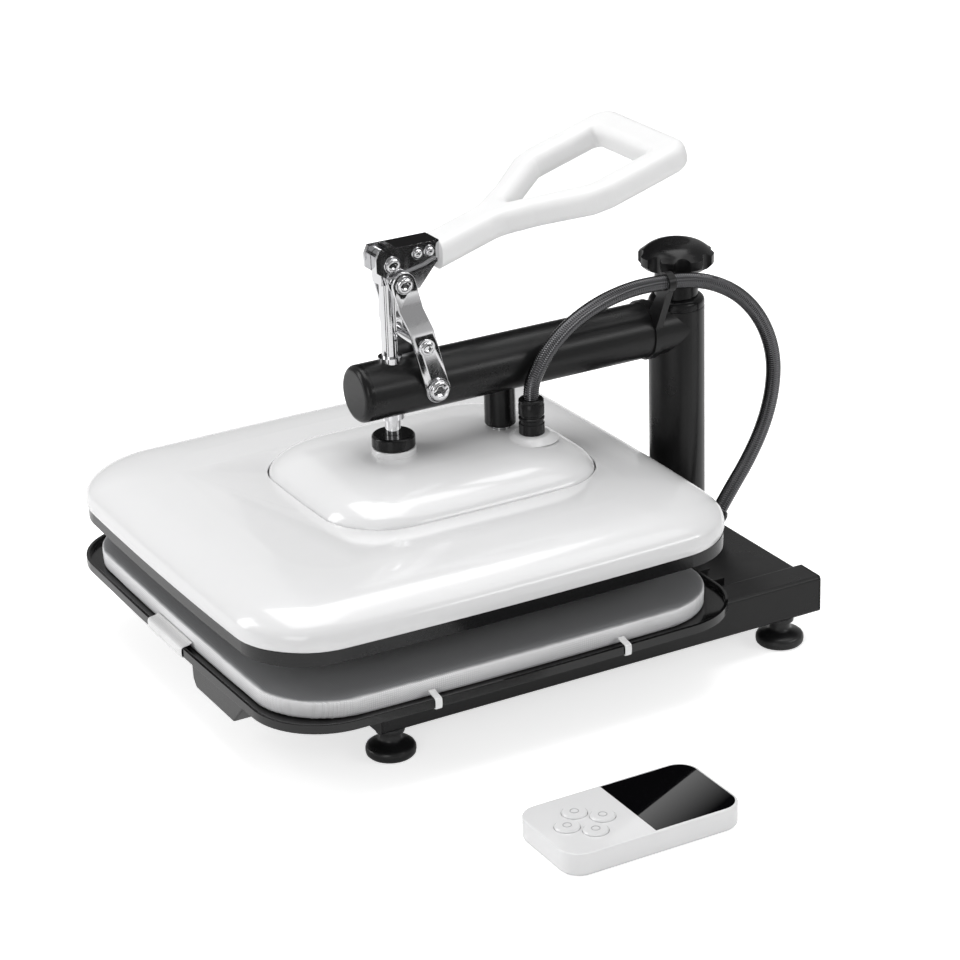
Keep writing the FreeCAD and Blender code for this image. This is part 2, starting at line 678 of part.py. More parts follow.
def make_housing():
    body = new_body("housing_shell")
    low = "foot_rise + floor_thick"
    shell = pad(body, "housing_pad", "YZ", rectangle("housing_front", "rail_back", low, "deck"),
                "-rail_inner", "rail_inner")
    top = edges_along(shell, X, lambda middle: middle.z > value("deck") - 0.1)
    round_edges(body, "housing_edges", shell, top, "rail_rounding")
    pocket(body, "housing_hollow", "YZ",
           rectangle("housing_front + housing_wall", "rail_back - housing_wall", f"{low} - 1",
                     "deck - housing_wall"), "-rail_inner - 1", "rail_inner + 1")
    hole = cylinder("outlet_hole", "outlet_radius + 0.5", "housing_wall + 2", "outlet_side", "outlet_foot",
                    "deck - housing_wall - 1")
    inlet = box("inlet_window", ("inlet_side - inlet_width / 2 + 2", "inlet_side + inlet_width / 2 - 2"),
                ("rail_back - housing_wall - 1", "rail_back + 1"), ("inlet_bottom + 2", "inlet_top - 2"))
    switch = box("switch_window", ("switch_side - switch_width / 2 - slide_gap",
                                   "switch_side + switch_width / 2 + slide_gap"),
                 ("rail_back - housing_wall - 1", "rail_back + 1"),
                 ("inlet_level - switch_height / 2 - slide_gap", "inlet_level + switch_height / 2 + slide_gap"))
    as_node(cut("housing_cut", body, [hole, inlet, switch]), "base_housing")
    as_node(box("floor_plate", ("-rail_inner", "rail_inner"), ("housing_front", "rail_back"),
                ("foot_rise", low)), "housing_floor")


def make_column_post():
    body = new_body("post_turned")
    inner = "post_radius - post_wall"
    revolve(body, "post_profile", [
        (inner, "deck"), ("flange_radius", "deck"), ("flange_radius", "deck + flange_thick - 1"),
        ("flange_radius - 1", "deck + flange_thick"), ("post_radius", "deck + flange_thick"),
        ("post_radius", "post_top - 1"), ("post_radius - 1", "post_top"),
        ("knob_stud_radius + turning_gap", "post_top"),
        ("knob_stud_radius + turning_gap", "post_top - post_head"), (inner, "post_top - post_head - 6")])
    locate(body, "0", "column_back", "0")
    as_node(body, "column_post")


def make_runners():
    """Channels with inward lips on the cross member and the housing, and the sliders in them."""
    fixed, moving = [], []
    half = "runner_width / 2"
    for tag, sign in (("left", "-1"), ("right", "1")):
        middle = f"{sign} * runner_middle"
        top = "deck + runner_height"
        body = new_body("runner_channel_" + tag)
        left, right = f"{middle} - {half}", f"{middle} + {half}"
        pad(body, "runner_pad_" + tag, "XZ", [
            (left, "deck"), (right, "deck"), (right, top), (f"{right} - runner_lip", top),
            (f"{right} - runner_lip", f"{top} - runner_wall"), (f"{right} - runner_wall", f"{top} - runner_wall"),
            (f"{right} - runner_wall", "deck + runner_wall"), (f"{left} + runner_wall", "deck + runner_wall"),
            (f"{left} + runner_wall", f"{top} - runner_wall"), (f"{left} + runner_lip", f"{top} - runner_wall"),
            (f"{left} + runner_lip", top), (left, top)], "rail_front", "runner_back")
        fixed.append(body)
        slider = new_body("slider_bar_" + tag)
        low = "deck + runner_wall + slide_gap"
        high = f"{top} - runner_wall - slide_gap"
        wide = "(runner_width / 2 - runner_wall - slide_gap)"
        stem = "(runner_width / 2 - runner_lip - slide_gap)"
        pad(slider, "slider_pad_" + tag, "XZ", [
            (f"{middle} - {wide}", low), (f"{middle} + {wide}", low), (f"{middle} + {wide}", high),
            (f"{middle} + {stem}", high), (f"{middle} + {stem}", "bed_level"), (f"{middle} - {stem}", "bed_level"),
            (f"{middle} - {stem}", high), (f"{middle} - {wide}", high)],
            "rail_front + 2", "rail_front + 2 + slider_length")
        moving.append(slider)
    as_node(fuse("runner_pair", fixed), "drawer_runners")
    as_node(fuse("slider_pair", moving), "drawer_sliders")


def make_feet():
    spots = {"front_left": ("-rail_middle", "foot_front"), "front_right": ("rail_middle", "foot_front"),
             "rear_left": ("-rail_middle", "foot_rear"), "rear_right": ("rail_middle", "foot_rear")}
    for tag, (x, y) in spots.items():
        body = new_body("foot_turned_" + tag)
        revolve(body, "foot_profile_" + tag, [
            ("0", "0"), ("foot_disc_radius - 2", "0"), ("foot_disc_radius", "2"),
            ("foot_disc_radius", "foot_disc_height - 3"), ("foot_disc_radius - 3", "foot_disc_height"),
            ("foot_neck_radius", "foot_disc_height"), ("foot_neck_radius", "foot_rise"),
            ("foot_stud_radius", "foot_rise"), ("foot_stud_radius", "foot_rise + foot_stud_reach"),
            ("0", "foot_rise + foot_stud_reach")])
        locate(body, x, y, "0")
        as_node(body, "foot_" + tag)


def make_inlet():
    """Three-pin appliance inlet, its mouth to the rear."""
    lip = "rail_back + inlet_lip"
    left, right = "inlet_side - inlet_width / 2", "inlet_side + inlet_width / 2"
    flange = box("inlet_flange", (left, right), ("rail_back", lip), ("inlet_bottom", "inlet_top"))
    shell = box("inlet_body", (f"{left} + 2.05", f"{right} - 2.05"), ("rail_back - inlet_reach", "rail_back"),
                ("inlet_bottom + 2.05", "inlet_top - 2.05"))
    mouth = box("inlet_mouth", (f"{left} + 3.5", f"{right} - 3.5"), ("rail_back - inlet_reach + 2", f"{lip} + 1"),
                ("inlet_bottom + 3.5", "inlet_top - 3.5"))
    socket = cut("inlet_socket", fuse("inlet_block", [flange, shell]), [mouth])
    pins = [box(f"inlet_pin_{number}", (f"inlet_side + {shift} - 1", f"inlet_side + {shift} + 1"),
                ("rail_back - inlet_reach + 1", "rail_back - 2"),
                (f"inlet_level + {rise} - 2", f"inlet_level + {rise} + 2"))
            for number, (shift, rise) in enumerate(((-7, -1), (0, 1.5), (7, -1)))]
    as_node(fuse("inlet_fused", [socket] + pins), "power_inlet")


def make_switch():
    """Rocker on its own axle pins, proud at its upper end, in a frame behind the housing wall."""
    face, inner = "rail_back", "rail_back - switch_depth"
    axle = "rail_back - switch_axle"
    half = "switch_width / 2"
    body = new_body("switch_rocker")
    pad(body, "switch_pad", "YZ", [
        (inner, "inlet_level - switch_reach"), (f"{face} - 0.2", "inlet_level - switch_reach"),
        (f"{face} + 0.3", "inlet_level"), (f"{face} + 1.9", "inlet_level + switch_reach"),
        (inner, "inlet_level + switch_reach")], f"switch_side - {half}", f"switch_side + {half}")
    pins = cylinder("switch_pins", "switch_pin_radius", f"2 * ({half} + switch_pin_reach)",
                    f"switch_side - {half} - switch_pin_reach", axle, "inlet_level", "x")
    as_node(fuse("switch_fused", [body, pins]), "power_switch")
    frame = box("switch_frame_block", ("switch_side - switch_wall", "switch_side + switch_wall"),
                ("rail_back - 16", "rail_back - housing_wall"), ("inlet_bottom + 2.05", "inlet_top - 2.05"))
    hollow = box("switch_frame_hollow", (f"switch_side - {half} - slide_gap", f"switch_side + {half} + slide_gap"),
                 ("rail_back - 12", "rail_back"),
                 ("inlet_level - switch_height / 2 - slide_gap - 0.4",
                  "inlet_level + switch_height / 2 + slide_gap + 0.4"))
    bores = cylinder("switch_bores", "switch_pin_radius + turning_gap", "2 * switch_wall + 2",
                     "switch_side - switch_wall - 1", axle, "inlet_level", "x")
    as_node(cut("switch_frame_cut", frame, [hollow, bores]), "switch_frame")


# ---------------------------------------------------------------- arm

def make_sleeve():
    body = new_body("sleeve_turned")
    revolve(body, "sleeve_profile", rectangle("bore_radius", "tube_radius", "sleeve_bottom", "sleeve_top"))
    locate(body, "0", "column_back", "0")
    as_node(body, "column_sleeve")


def make_swivel_bushes():
    inner = "post_radius + turning_gap"
    outer = "bore_radius - seat_gap"
    parts = []
    for number, (low, high) in enumerate((("sleeve_bottom", "sleeve_bottom + bush_length"),
                                          ("post_top - bush_length", "post_top"))):
        body = new_body(f"bush_turned_{number}")
        profile = rectangle(inner, outer, low, high)
        if number == 0:
            profile = [(inner, f"{low} - bush_flange"), ("tube_radius - 1", f"{low} - bush_flange"),
                       ("tube_radius - 1", low), (outer, low), (outer, high), (inner, high)]
        revolve(body, f"bush_profile_{number}", profile)
        parts.append(locate(body, "0", "column_back", "0"))
    as_node(fuse("bush_pair", parts), "swivel_bushes")


def make_column_cap():
    body = new_body("cap_turned")
    bore = "knob_stud_radius + 0.8"
    revolve(body, "cap_profile", [
        (bore, "sleeve_top - cap_spigot"), ("bore_radius - seat_gap", "sleeve_top - cap_spigot"),
        ("bore_radius - seat_gap", "sleeve_top"), ("tube_radius", "sleeve_top"),
        ("tube_radius", "cap_top - cap_rounding", "cap_rounding * 0.29289"),
        ("tube_radius - cap_rounding", "cap_top"), (bore, "cap_top")])
    locate(body, "0", "column_back", "0")
    as_node(body, "column_cap")


def make_arm_tube():
    length = "column_back - arm_front"
    outer = cylinder("arm_outer", "tube_radius", length, "0", "arm_front", "arm_level", "y")
    inner = cylinder("arm_inner", "bore_radius", f"{length} + 2", "0", "arm_front - 1", "arm_level", "y")
    cope = cylinder("arm_cope", "tube_radius + seat_gap", "4 * tube_radius", "0", "column_back",
                    "arm_level - 2 * tube_radius")
    bush = cylinder("arm_bush_hole", "bush_radius + seat_gap", "4 * tube_radius", "0", "plunger_back",
                    "arm_level - 2 * tube_radius")
    guide = cylinder("arm_guide_hole", "guide_sleeve_radius + seat_gap", "arm_level - guide_sleeve_bottom",
                     "0", "guide_back", "guide_sleeve_bottom")
    pivot = shaft("arm_pivot_hole", "pivot_radius + seat_gap", "tube_radius + 2", "pivot_back", "arm_level")
    as_node(cut("arm_cut", outer, [inner, cope, bush, guide, pivot]), "arm_tube")


def make_end_cap():
    """Domed plug of the arm's front end, turned about its own axis."""
    body = new_body("end_cap_turned")
    revolve(body, "end_cap_profile", [
        ("0", "-cap_spigot"), ("bore_radius - seat_gap", "-cap_spigot"), ("bore_radius - seat_gap", "0"),
        ("tube_radius", "0"), ("tube_radius", "end_cap_length - cap_rounding", "cap_rounding * 0.29289"),
        ("tube_radius - cap_rounding", "end_cap_length"), ("0", "end_cap_length")])
    locate(body, "0", "arm_front", "arm_level", FreeCAD.Rotation(X, 90))
    as_node(body, "arm_cap")


def make_plunger_bush():
    body = new_body("plunger_bush_turned")
    revolve(body, "plunger_bush_profile", rectangle("rod_radius + turning_gap", "bush_radius", "bush_bottom",
                                                    "bush_top"))
    locate(body, "0", "plunger_back", "0")
    as_node(body, "plunger_bush")


def make_guide_sleeve():
    body = new_body("guide_sleeve_turned")
    revolve(body, "guide_sleeve_profile", [
        ("guide_radius + turning_gap", "guide_sleeve_bottom"), ("guide_sleeve_radius - 1", "guide_sleeve_bottom"),
        ("guide_sleeve_radius", "guide_sleeve_bottom + 1"), ("guide_sleeve_radius", "guide_sleeve_top"),
        ("guide_radius + turning_gap", "guide_sleeve_top")])
    locate(body, "0", "guide_back", "0")
    as_node(body, "guide_sleeve")


def make_link_pivot():
    inside = "link_outside + slide_gap"
    parts = [shaft("pivot_shaft", "pivot_radius", inside, "pivot_back", "arm_level")]
    parts += pair("pivot_head", "pivot_radius + 3", inside, f"{inside} + pivot_head", "pivot_back", "arm_level")
    as_node(fuse("pivot_fused", parts), "link_pivot")


def make_hose_clip():
    """Saddle round the arm tube that carries a ring round the hose."""
    low = "clip_back - clip_width / 2"
    saddle = cylinder("clip_saddle", "tube_radius + clip_wall", "clip_width", "0", low, "arm_level", "y")
    ring = cylinder("clip_ring", "hose_radius + clip_wall + 0.5", "clip_width", "clip_side", low, "clip_level", "y")
    web = new_body("clip_web")
    pad(web, "clip_web_pad", "XZ", [
        ("tube_radius * 0.5", "arm_level + tube_radius * 0.8"), ("tube_radius", "arm_level + tube_radius * 0.3"),
        ("clip_side + 4", "clip_level - hose_radius"), ("clip_side - 5", "clip_level - hose_radius + 2")],
        low, f"{low} + clip_width")
    arm_hole = cylinder("clip_arm_hole", "tube_radius + seat_gap", "clip_width + 2", "0", f"{low} - 1",
                        "arm_level", "y")
    hose_hole = cylinder("clip_hose_hole", "hose_radius + 0.4", "clip_width + 2", "clip_side", f"{low} - 1",
                         "clip_level", "y")
    as_node(cut("clip_cut", fuse("clip_block", [saddle, ring, web]), [arm_hole, hose_hole]), "hose_clip")


# ---------------------------------------------------------------- knob

def make_knob():
    body = new_body("knob_turned")
    flat = "knob_bottom + knob_thick"
    revolve(body, "knob_profile", [
        ("knob_stud_radius + seat_gap", "cap_top"), ("knob_neck_radius", "cap_top"),
        ("knob_neck_radius", "knob_bottom - 2"), ("knob_neck_radius + 2", "knob_bottom"),
        ("knob_radius - 3", "knob_bottom"), ("knob_radius", "knob_bottom + 3"),
        ("knob_radius", f"{flat} - 3"), ("knob_radius - 4", flat, "1.5"),
        ("knob_radius * 0.35", f"{flat} + knob_dome"), ("0", f"{flat} + knob_dome"),
        ("0", "knob_bottom + 4"), ("knob_stud_radius + seat_gap", "knob_bottom + 4")])
    scallop = pocket(body, "knob_scallop_cut", "XY",
                     ("(knob_radius + knob_scallop * 0.55) * cos(180 / knob_lobes)",
                      "(knob_radius + knob_scallop * 0.55) * sin(180 / knob_lobes)", "knob_scallop"),
                     "knob_bottom - 1", f"{flat} + knob_dome + 1")
    ring = body.newObject("PartDesign::PolarPattern", "knob_scallops")
    ring.Originals = [scallop]
    ring.Axis = (origin_feature(body, "Z_Axis"), [""])
    ring.Angle = 360
    bind(ring, "Occurrences", "knob_lobes")
    body.Tip = ring
    document.recompute()
    locate(body, "0", "column_back", "0")
    as_node(body, "clamp_knob")
    as_node(cylinder("knob_stud_rod", "knob_stud_radius", "knob_bottom + 4 - knob_stud_bottom", "0",
                     "column_back", "knob_stud_bottom"), "knob_stud")


# ---------------------------------------------------------------- toggle linkage

def make_side_links():
    """Cranked plates: the outline across the press, met by the crank's profile."""
    for side, sign in (("left", "-1"), ("right", "1")):
        start = "-link_outside - 1" if sign == "-1" else "link_high_inside - 1"
        width = "link_outside - link_high_inside + 2"
        bar = document.addObject("Part::Box", "link_bar_" + side)
        bind(bar, "Length", width)
        bind(bar, "Width", "2 * link_half")
        bind(bar, "Height", "link_length")
        locate(bar, start, "pivot_back - link_half * cos(link_tilt)", "arm_level - link_half * sin(link_tilt)",
               FreeCAD.Rotation(X, value("link_tilt")))
        bind(bar, "Placement.Rotation.Angle", "link_tilt")
        ends = [cylinder("link_foot_" + side, "link_lobe", width, start, "pivot_back", "arm_level", "x"),
                cylinder("link_head_" + side, "link_lobe - 0.5", width, start, "pin_back", "pin_level", "x")]
        blank = fuse("link_blank_" + side, [bar] + ends)
        crank = new_body("link_crank_" + side)
        low, high = "link_low_inside", "link_high_inside"
        bend = ("arm_level + crank_bottom", "arm_level + crank_top")
        profile = [(low, "arm_level - 2 * link_lobe"), (f"{low} + link_thick", "arm_level - 2 * link_lobe"),
                   (f"{low} + link_thick", f"{bend[0]} + 1"), (f"{high} + link_thick", f"{bend[1]} + 1"),
                   (f"{high} + link_thick", "pin_level + 2 * link_lobe"), (high, "pin_level + 2 * link_lobe"),
                   (high, bend[1]), (low, bend[0])]
        if sign == "-1":
            profile = [(f"-({x})", z) for x, z in reversed(profile)]
        pad(crank, "link_crank_pad_" + side, "XZ", profile, "pin_back - 3 * link_lobe", "pivot_back + 3 * link_lobe")
        shape = common("link_shape_" + side, blank, crank)
        holes = [shaft("link_hole_pivot_" + side, "pivot_radius + turning_gap", "link_outside + 2", "pivot_back",
                       "arm_level"),
                 shaft("link_hole_tie_" + side, "tie_radius + seat_gap", "link_outside + 2", "tie_back", "tie_level"),
                 shaft("link_hole_pin_" + side, "stud_radius + seat_gap", "link_outside + 2", "pin_back",
                       "pin_level")]
        as_node(cut("link_cut_" + side, shape, holes), "side_link_" + side)


def make_link_bolts():
    parts = [shaft("tie_shank", "tie_radius", "link_outside + stud_head - 0.5", "tie_back", "tie_level")]
    parts += pair("tie_head", "tie_radius + 2.5", "link_outside", "link_outside + stud_head", "tie_back",
                  "tie_level")
    as_node(fuse("tie_fused", parts), "tie_bolt")
    inside = "link_high_inside - slide_gap / 2"
    outside = "link_high_inside + link_thick"
    parts = pair("toggle_shank", "stud_radius", inside, f"{outside} + stud_head", "pin_back", "pin_level")
    parts += pair("toggle_head", "stud_head_radius", outside, f"{outside} + stud_head", "pin_back", "pin_level")
    as_node(fuse("toggle_fused", parts), "toggle_studs")


def lever_spot(behind, above):
    """A point of the lever, measured from its pin."""
    return (f"plunger_back + ({behind})", f"lever_level + ({above})")


def make_lever_bracket():
    cheek = [lever_spot("-bracket_nose", "-4"), lever_spot("-bracket_nose", "6"),
             lever_spot("3 - bracket_nose", "bracket_rise"), lever_spot("bracket_reach", "bracket_rise"),
             lever_spot("bracket_reach", "-1.6"), lever_spot("gusset_back", "-gusset_drop"),
             lever_spot("pin_behind", "pin_above - boss_radius - 3"),
             lever_spot("pin_behind - boss_radius - 2.5", "pin_above - 4.5"), lever_spot("-5", "-10")]
    rim = [lever_spot("-4", "-13"), lever_spot("pin_behind + 20", "-7"), lever_spot("bracket_reach - 3", "-3"),
           lever_spot("bracket_reach - 3", "0"), lever_spot("pin_behind + 20", "-4"), lever_spot("-5", "-10")]
    body = new_body("bracket_blank")
    pad(body, "bracket_cheeks", "YZ", cheek, "-cheek_outside", "cheek_outside")
    slot = [lever_spot("-bracket_nose - 1", "-40"), lever_spot("bracket_reach + 1", "-40"),
            lever_spot("bracket_reach + 1", "bracket_rise - cheek_thick"),
            lever_spot("web_start", "bracket_rise - cheek_thick"), lever_spot("web_start", "bracket_rise + 1"),
            lever_spot("-bracket_nose - 1", "bracket_rise + 1")]
    pocket(body, "bracket_slot", "YZ", slot, "-cheek_inside", "cheek_inside")
    parts = [body]
    for tag, (low, high) in {"near": ("cheek_outside - 0.5", "boss_outside"),
                             "far": ("-boss_outside", "0.5 - cheek_outside")}.items():
        flange = new_body("bracket_flange_" + tag)
        pad(flange, "bracket_flange_pad_" + tag, "YZ", rim, low, high)
        parts.append(flange)
    parts += pair("bracket_boss", "boss_radius", "cheek_outside - 0.5", "boss_outside", "pin_back", "pin_level")
    whole = fuse("bracket_whole", parts)
    holes = [shaft("bracket_pin_hole", "lever_pin_radius + seat_gap", "boss_outside + 1", "plunger_back",
                   "lever_level")]
    holes += [shaft(f"bracket_bolt_hole_{number}", "handle_bolt_radius + seat_gap", "boss_outside + 1", *spot)
              for number, spot in enumerate(handle_bolt_spots())]
    as_node(cut("bracket_cut", whole, holes), "lever_bracket")


def handle_bolt_spots():
    return [lever_spot("tang_start + 7", "bracket_rise / 2 - 1"), lever_spot("bracket_reach - 8", "bracket_rise / 2 - 1")]


def make_lever_pins():
    parts = [shaft("lever_shank", "lever_pin_radius", "cheek_outside + 1", "plunger_back", "lever_level")]
    parts += pair("lever_head", "lever_pin_radius + 2.5", "cheek_outside", "boss_outside - 0.4", "plunger_back",
                  "lever_level")
    as_node(fuse("lever_pin_fused", parts), "lever_pin")
    parts = []
    for number, spot in enumerate(handle_bolt_spots()):
        parts.append(shaft(f"handle_shank_{number}", "handle_bolt_radius", "cheek_outside + 1", *spot))
        parts += pair(f"handle_head_{number}", "handle_bolt_radius + 2", "cheek_outside", "boss_outside - 0.6", *spot)
    as_node(fuse("handle_bolts_fused", parts), "handle_bolts")


def make_handle():
    """Flat loop: outline and opening in its own plane, all edges rounded, and a square tang."""
    body = new_body("handle_loop")
    half = "handle_half"
    outer = [("handle_root", "-8"), ("handle_root", "handle_neck"), ("handle_root * 2 - 2", "handle_neck + 24"),
             ("handle_half * 0.93", "handle_flare - 12"), (half, "handle_flare + 4"), (half, "handle_length")]
    outline = outer + [(f"-({x})", y) for x, y in reversed(outer)]
    loop = pad(body, "handle_pad", "XY", outline, "-handle_thick / 2", "handle_thick / 2")
    end = value("handle_length") - 1
    neck = value("handle_neck") * 0.8
    tips = edges_along(loop, Z, lambda middle: middle.y > end)
    loop = round_edges(body, "handle_tips", loop, tips, "handle_corner")
    bends = edges_along(loop, Z, lambda middle: neck < middle.y < value("handle_length") * 0.85)
    loop = round_edges(body, "handle_bends", loop, bends, "handle_corner * 1.2")
    inner = f"{half} - grip_width"
    far = "handle_length - grip_end"
    hole = [("4", "opening_start"), (inner, "handle_flare"), (inner, far)]
    hole += [(f"-({x})", y) for x, y in reversed(hole)]
    loop = pocket(body, "handle_opening", "XY", hole, "-handle_thick / 2 - 1", "handle_thick / 2 + 1")
    wide = value(inner) + 1
    corners = edges_along(loop, Z, lambda middle: abs(middle.x) < wide and middle.y > value("opening_start") - 1
                          and middle.y < value(far) + 1)
    loop = round_edges(body, "handle_opening_corners", loop, corners, "handle_rounding * 0.45")
    thick = value("handle_thick") / 2
    keep = value("-8") + 1
    rims = edges_level(loop, thick, lambda middle: middle.y > keep)
    rims += edges_level(loop, -thick, lambda middle: middle.y > keep)
    round_edges(body, "handle_edges", loop, rims, "handle_rounding")
    start = lever_spot("bracket_reach - 2", "-0.1")
    locate(body, "0", start[0], start[1], FreeCAD.Rotation(X, value("handle_tilt")))
    bind(body, "Placement.Rotation.Angle", "handle_tilt")
    clear = box("handle_clear", ("-handle_half", "handle_half"), ("plunger_back", "bracket_end"),
                ("lever_level - 3 * handle_thick", "lever_level + 3 * handle_thick"))
    face = cut("handle_faced", body, [clear])
    tang = box("handle_tang", ("seat_gap - cheek_inside", "cheek_inside - seat_gap"),
               ("plunger_back + tang_start", "bracket_end + 3"),
               ("lever_level - tang_drop", "lever_level + bracket_rise - cheek_thick - seat_gap"))
    holes = [shaft(f"tang_hole_{number}", "handle_bolt_radius + seat_gap", "cheek_inside + 1", *spot)
             for number, spot in enumerate(handle_bolt_spots())]
    as_node(cut("handle_cut", fuse("handle_joined", [face, tang]), holes), "handle")


# ---------------------------------------------------------------- platen

def make_plunger():
    top = "lever_level - eye_drop + 3"
    rod = cylinder("rod_bar", "rod_radius", f"{top} - mount_top", "0", "plunger_back", "mount_top")
    eye = new_body("rod_eye")
    block = pad(eye, "rod_eye_pad", "YZ",
                rectangle("plunger_back - eye_half_depth", "plunger_back + eye_half_depth",
                          "lever_level - eye_drop", "lever_level + eye_rise"), "-eye_half_width", "eye_half_width")
    upper = edges_along(block, X, lambda middle: middle.z > value("lever_level"))
    round_edges(eye, "rod_eye_edges", block, upper, "eye_half_depth * 0.7")
    hole = shaft("rod_eye_hole", "lever_pin_radius + turning_gap", "eye_half_width + 1", "plunger_back",
                 "lever_level")
    as_node(cut("rod_cut", fuse("rod_fused", [rod, eye]), [hole]), "plunger_rod")
    body = new_body("collar_turned")
    revolve(body, "collar_profile", [
        ("rod_radius + seat_gap", "ring_top"), ("collar_radius - 1", "ring_top"),
        ("collar_radius", "ring_top + 1"), ("collar_radius", "ring_top + collar_height - 1.5"),
        ("collar_radius - 1.5", "ring_top + collar_height"), ("rod_radius + seat_gap", "ring_top + collar_height")])
    locate(body, "0", "plunger_back", "0")
    as_node(body, "plunger_collar")
    as_node(cylinder("guide_bar", "guide_radius", "guide_top - mount_top", "0", "guide_back", "mount_top"),
            "guide_rod")


def make_heat_stack():
    block = slab("heat_block", "heat_half_width", "heat_half_depth", "platen_middle", "cover_bow", "heat_corner",
                 "platen_bottom", "heat_shelf")
    step = slab("heat_face", "heat_half_width - heat_inset", "heat_half_depth - heat_inset", "platen_middle",
                "cover_bow", "heat_corner - heat_inset", "heat_shelf", "heat_top")
    as_node(fuse("heat_fused", [block, step]), "heat_plate")
    inset = "(heat_inset + 6)"
    for name, low, high, label in (("element_sheet", "heat_top", "element_top", "heating_element"),
                                   ("insulation_sheet", "element_top", "insulation_top", "insulation")):
        sheet = slab(name, f"heat_half_width - {inset}", f"heat_half_depth - {inset}", "platen_middle",
                     "cover_bow", f"heat_corner - {inset}", low, high)
        as_node(sheet, label)
    plate = box("mount_plate", ("-mount_half_width", "mount_half_width"),
                ("panel_middle - mount_half_depth", "panel_middle + mount_half_depth"), ("insulation_top", "mount_top"))
    hubs = [cylinder("rod_hub", "hub_radius", "hub_height", "0", "plunger_back", "mount_top"),
            cylinder("guide_hub", "guide_radius + 6", "hub_height - 2", "0", "guide_back", "mount_top")]
    holes = [cylinder("rod_seat", "rod_radius + seat_gap", "hub_height + 1", "0", "plunger_back", "mount_top"),
             cylinder("guide_seat", "guide_radius + seat_gap", "hub_height + 1", "0", "guide_back", "mount_top")]
    as_node(cut("mount_cut", fuse("mount_fused", [plate] + hubs), holes), "mounting_plate")


def bowed_wire(half_width, half_depth, middle, corner, bow, level):
    """Closed outline of four bowed sides and four round corners, tangent to each other."""
    turns = [0.0, 0.0]
    for step in range(6):
        across = half_width - bow - corner * math.cos(turns[0])
        back = half_depth - bow - corner * math.cos(turns[1])
        turns = [2 * math.atan(bow / (back + corner * math.sin(turns[0]))),
                 2 * math.atan(bow / (across + corner * math.sin(turns[1])))]
    across = half_width - bow - corner * math.cos(turns[0])
    back = half_depth - bow - corner * math.cos(turns[1])
    low, high = turns[0], math.pi / 2 - turns[1]
    spots = []
    for sign_x, sign_y in ((1, 1), (-1, 1), (-1, -1), (1, -1)):
        trio = [FreeCAD.Vector(sign_x * (across + corner * math.cos(angle)),
                               middle + sign_y * (back + corner * math.sin(angle)), level)
                for angle in (low, (low + high) / 2, high)]
        spots.append(trio if sign_x * sign_y > 0 else trio[::-1])
    outs = [FreeCAD.Vector(0, middle + half_depth, level), FreeCAD.Vector(-half_width, middle, level),
            FreeCAD.Vector(0, middle - half_depth, level), FreeCAD.Vector(half_width, middle, level)]
    edges = []
    for number in range(4):
        edges.append(Part.Arc(*spots[number]).toShape())
        edges.append(Part.Arc(spots[number][2], outs[number], spots[(number + 1) % 4][0]).toShape())
    return Part.Wire(edges)


def dome(half_width, half_depth, middle, corner_share, bow, low, high, shoulder, profile, inset=0.0):
    """Solid through the outlines of a shoulder profile."""
    wires = []
    for rise, share in profile:
        wide = half_width - inset - shoulder * share
        deep = half_depth - inset - shoulder * share
        wires.append(bowed_wire(wide, deep, middle, corner_share * wide, bow * wide / half_width,
                                low + (high - low) * rise))
    return Part.makeLoft(wires, True, True)


def shape_feature(name, shape):
    thing = document.addObject("Part::Feature", name)
    thing.Shape = shape
    return thing


def make_cover():
    """Moulded shell with a rounded shoulder and a window for the raised panel."""
    wide, deep, middle = value("cover_half_width"), value("cover_half_depth"), value("platen_middle")
    share = value("cover_corner / cover_half_width")
    low, high, wall = value("heat_shelf"), value("cover_top"), value("cover_wall")
    more = (share, value("cover_bow"))
    outer = dome(wide, deep, middle, *more, low, high, value("cover_shoulder"), COVER_PROFILE)
    inner = dome(wide, deep, middle, *more, low, high - wall, value("cover_shoulder"), COVER_PROFILE, wall)
    shell = shape_feature("cover_shell", outer.cut(inner))
    seam = value("panel_seam")
    window = bowed_wire(value("panel_half_width") + seam, value("panel_half_depth") + seam, value("panel_middle"),
                        value("panel_corner") + seam / 2, value("panel_bow"), low + 1)
    prism = Part.Face(window).extrude(FreeCAD.Vector(0, 0, high))
    as_node(cut("cover_cut", shell, [shape_feature("cover_window", prism)]), "platen_cover")


def make_panel():
    """Raised panel with the ring round the plunger and the seat of the gland."""
    wide, deep, middle = value("panel_half_width"), value("panel_half_depth"), value("panel_middle")
    low, high, wall = value("panel_bottom"), value("panel_top"), value("cover_wall")
    shoulder = value("panel_shoulder")
    more = (value("panel_corner / panel_half_width"), value("panel_bow"))
    outer = dome(wide, deep, middle, *more, low, high, shoulder, PANEL_PROFILE)
    inner = dome(wide, deep, middle, *more, low, high - wall, shoulder, PANEL_PROFILE, wall)
    floor = Part.makeBox(4 * wide, 4 * deep, wall, FreeCAD.Vector(-2 * wide, -2 * deep, low - wall))
    shell = shape_feature("panel_shell", outer.cut(inner).cut(floor))
    ring = cylinder("panel_ring", "ring_radius", "ring_rise + cover_wall", "0", "plunger_back",
                    "panel_top - cover_wall")
    seat = cone("panel_gland_seat", "gland_radius + 8", "gland_radius + 4", "gland_rise + cover_wall + 2",
                "gland_side", "gland_back", "panel_top - cover_wall - 2")
    holes = [cylinder("panel_rod_hole", "rod_radius + 0.6", "panel_height", "0", "plunger_back",
                      "panel_bottom + 2 * cover_wall"),
             cylinder("panel_guide_hole", "guide_radius + 0.6", "panel_height", "0", "guide_back",
                      "panel_bottom + 2 * cover_wall")]
    as_node(cut("panel_cut", fuse("panel_fused", [shell, ring, seat]), holes), "cover_panel")


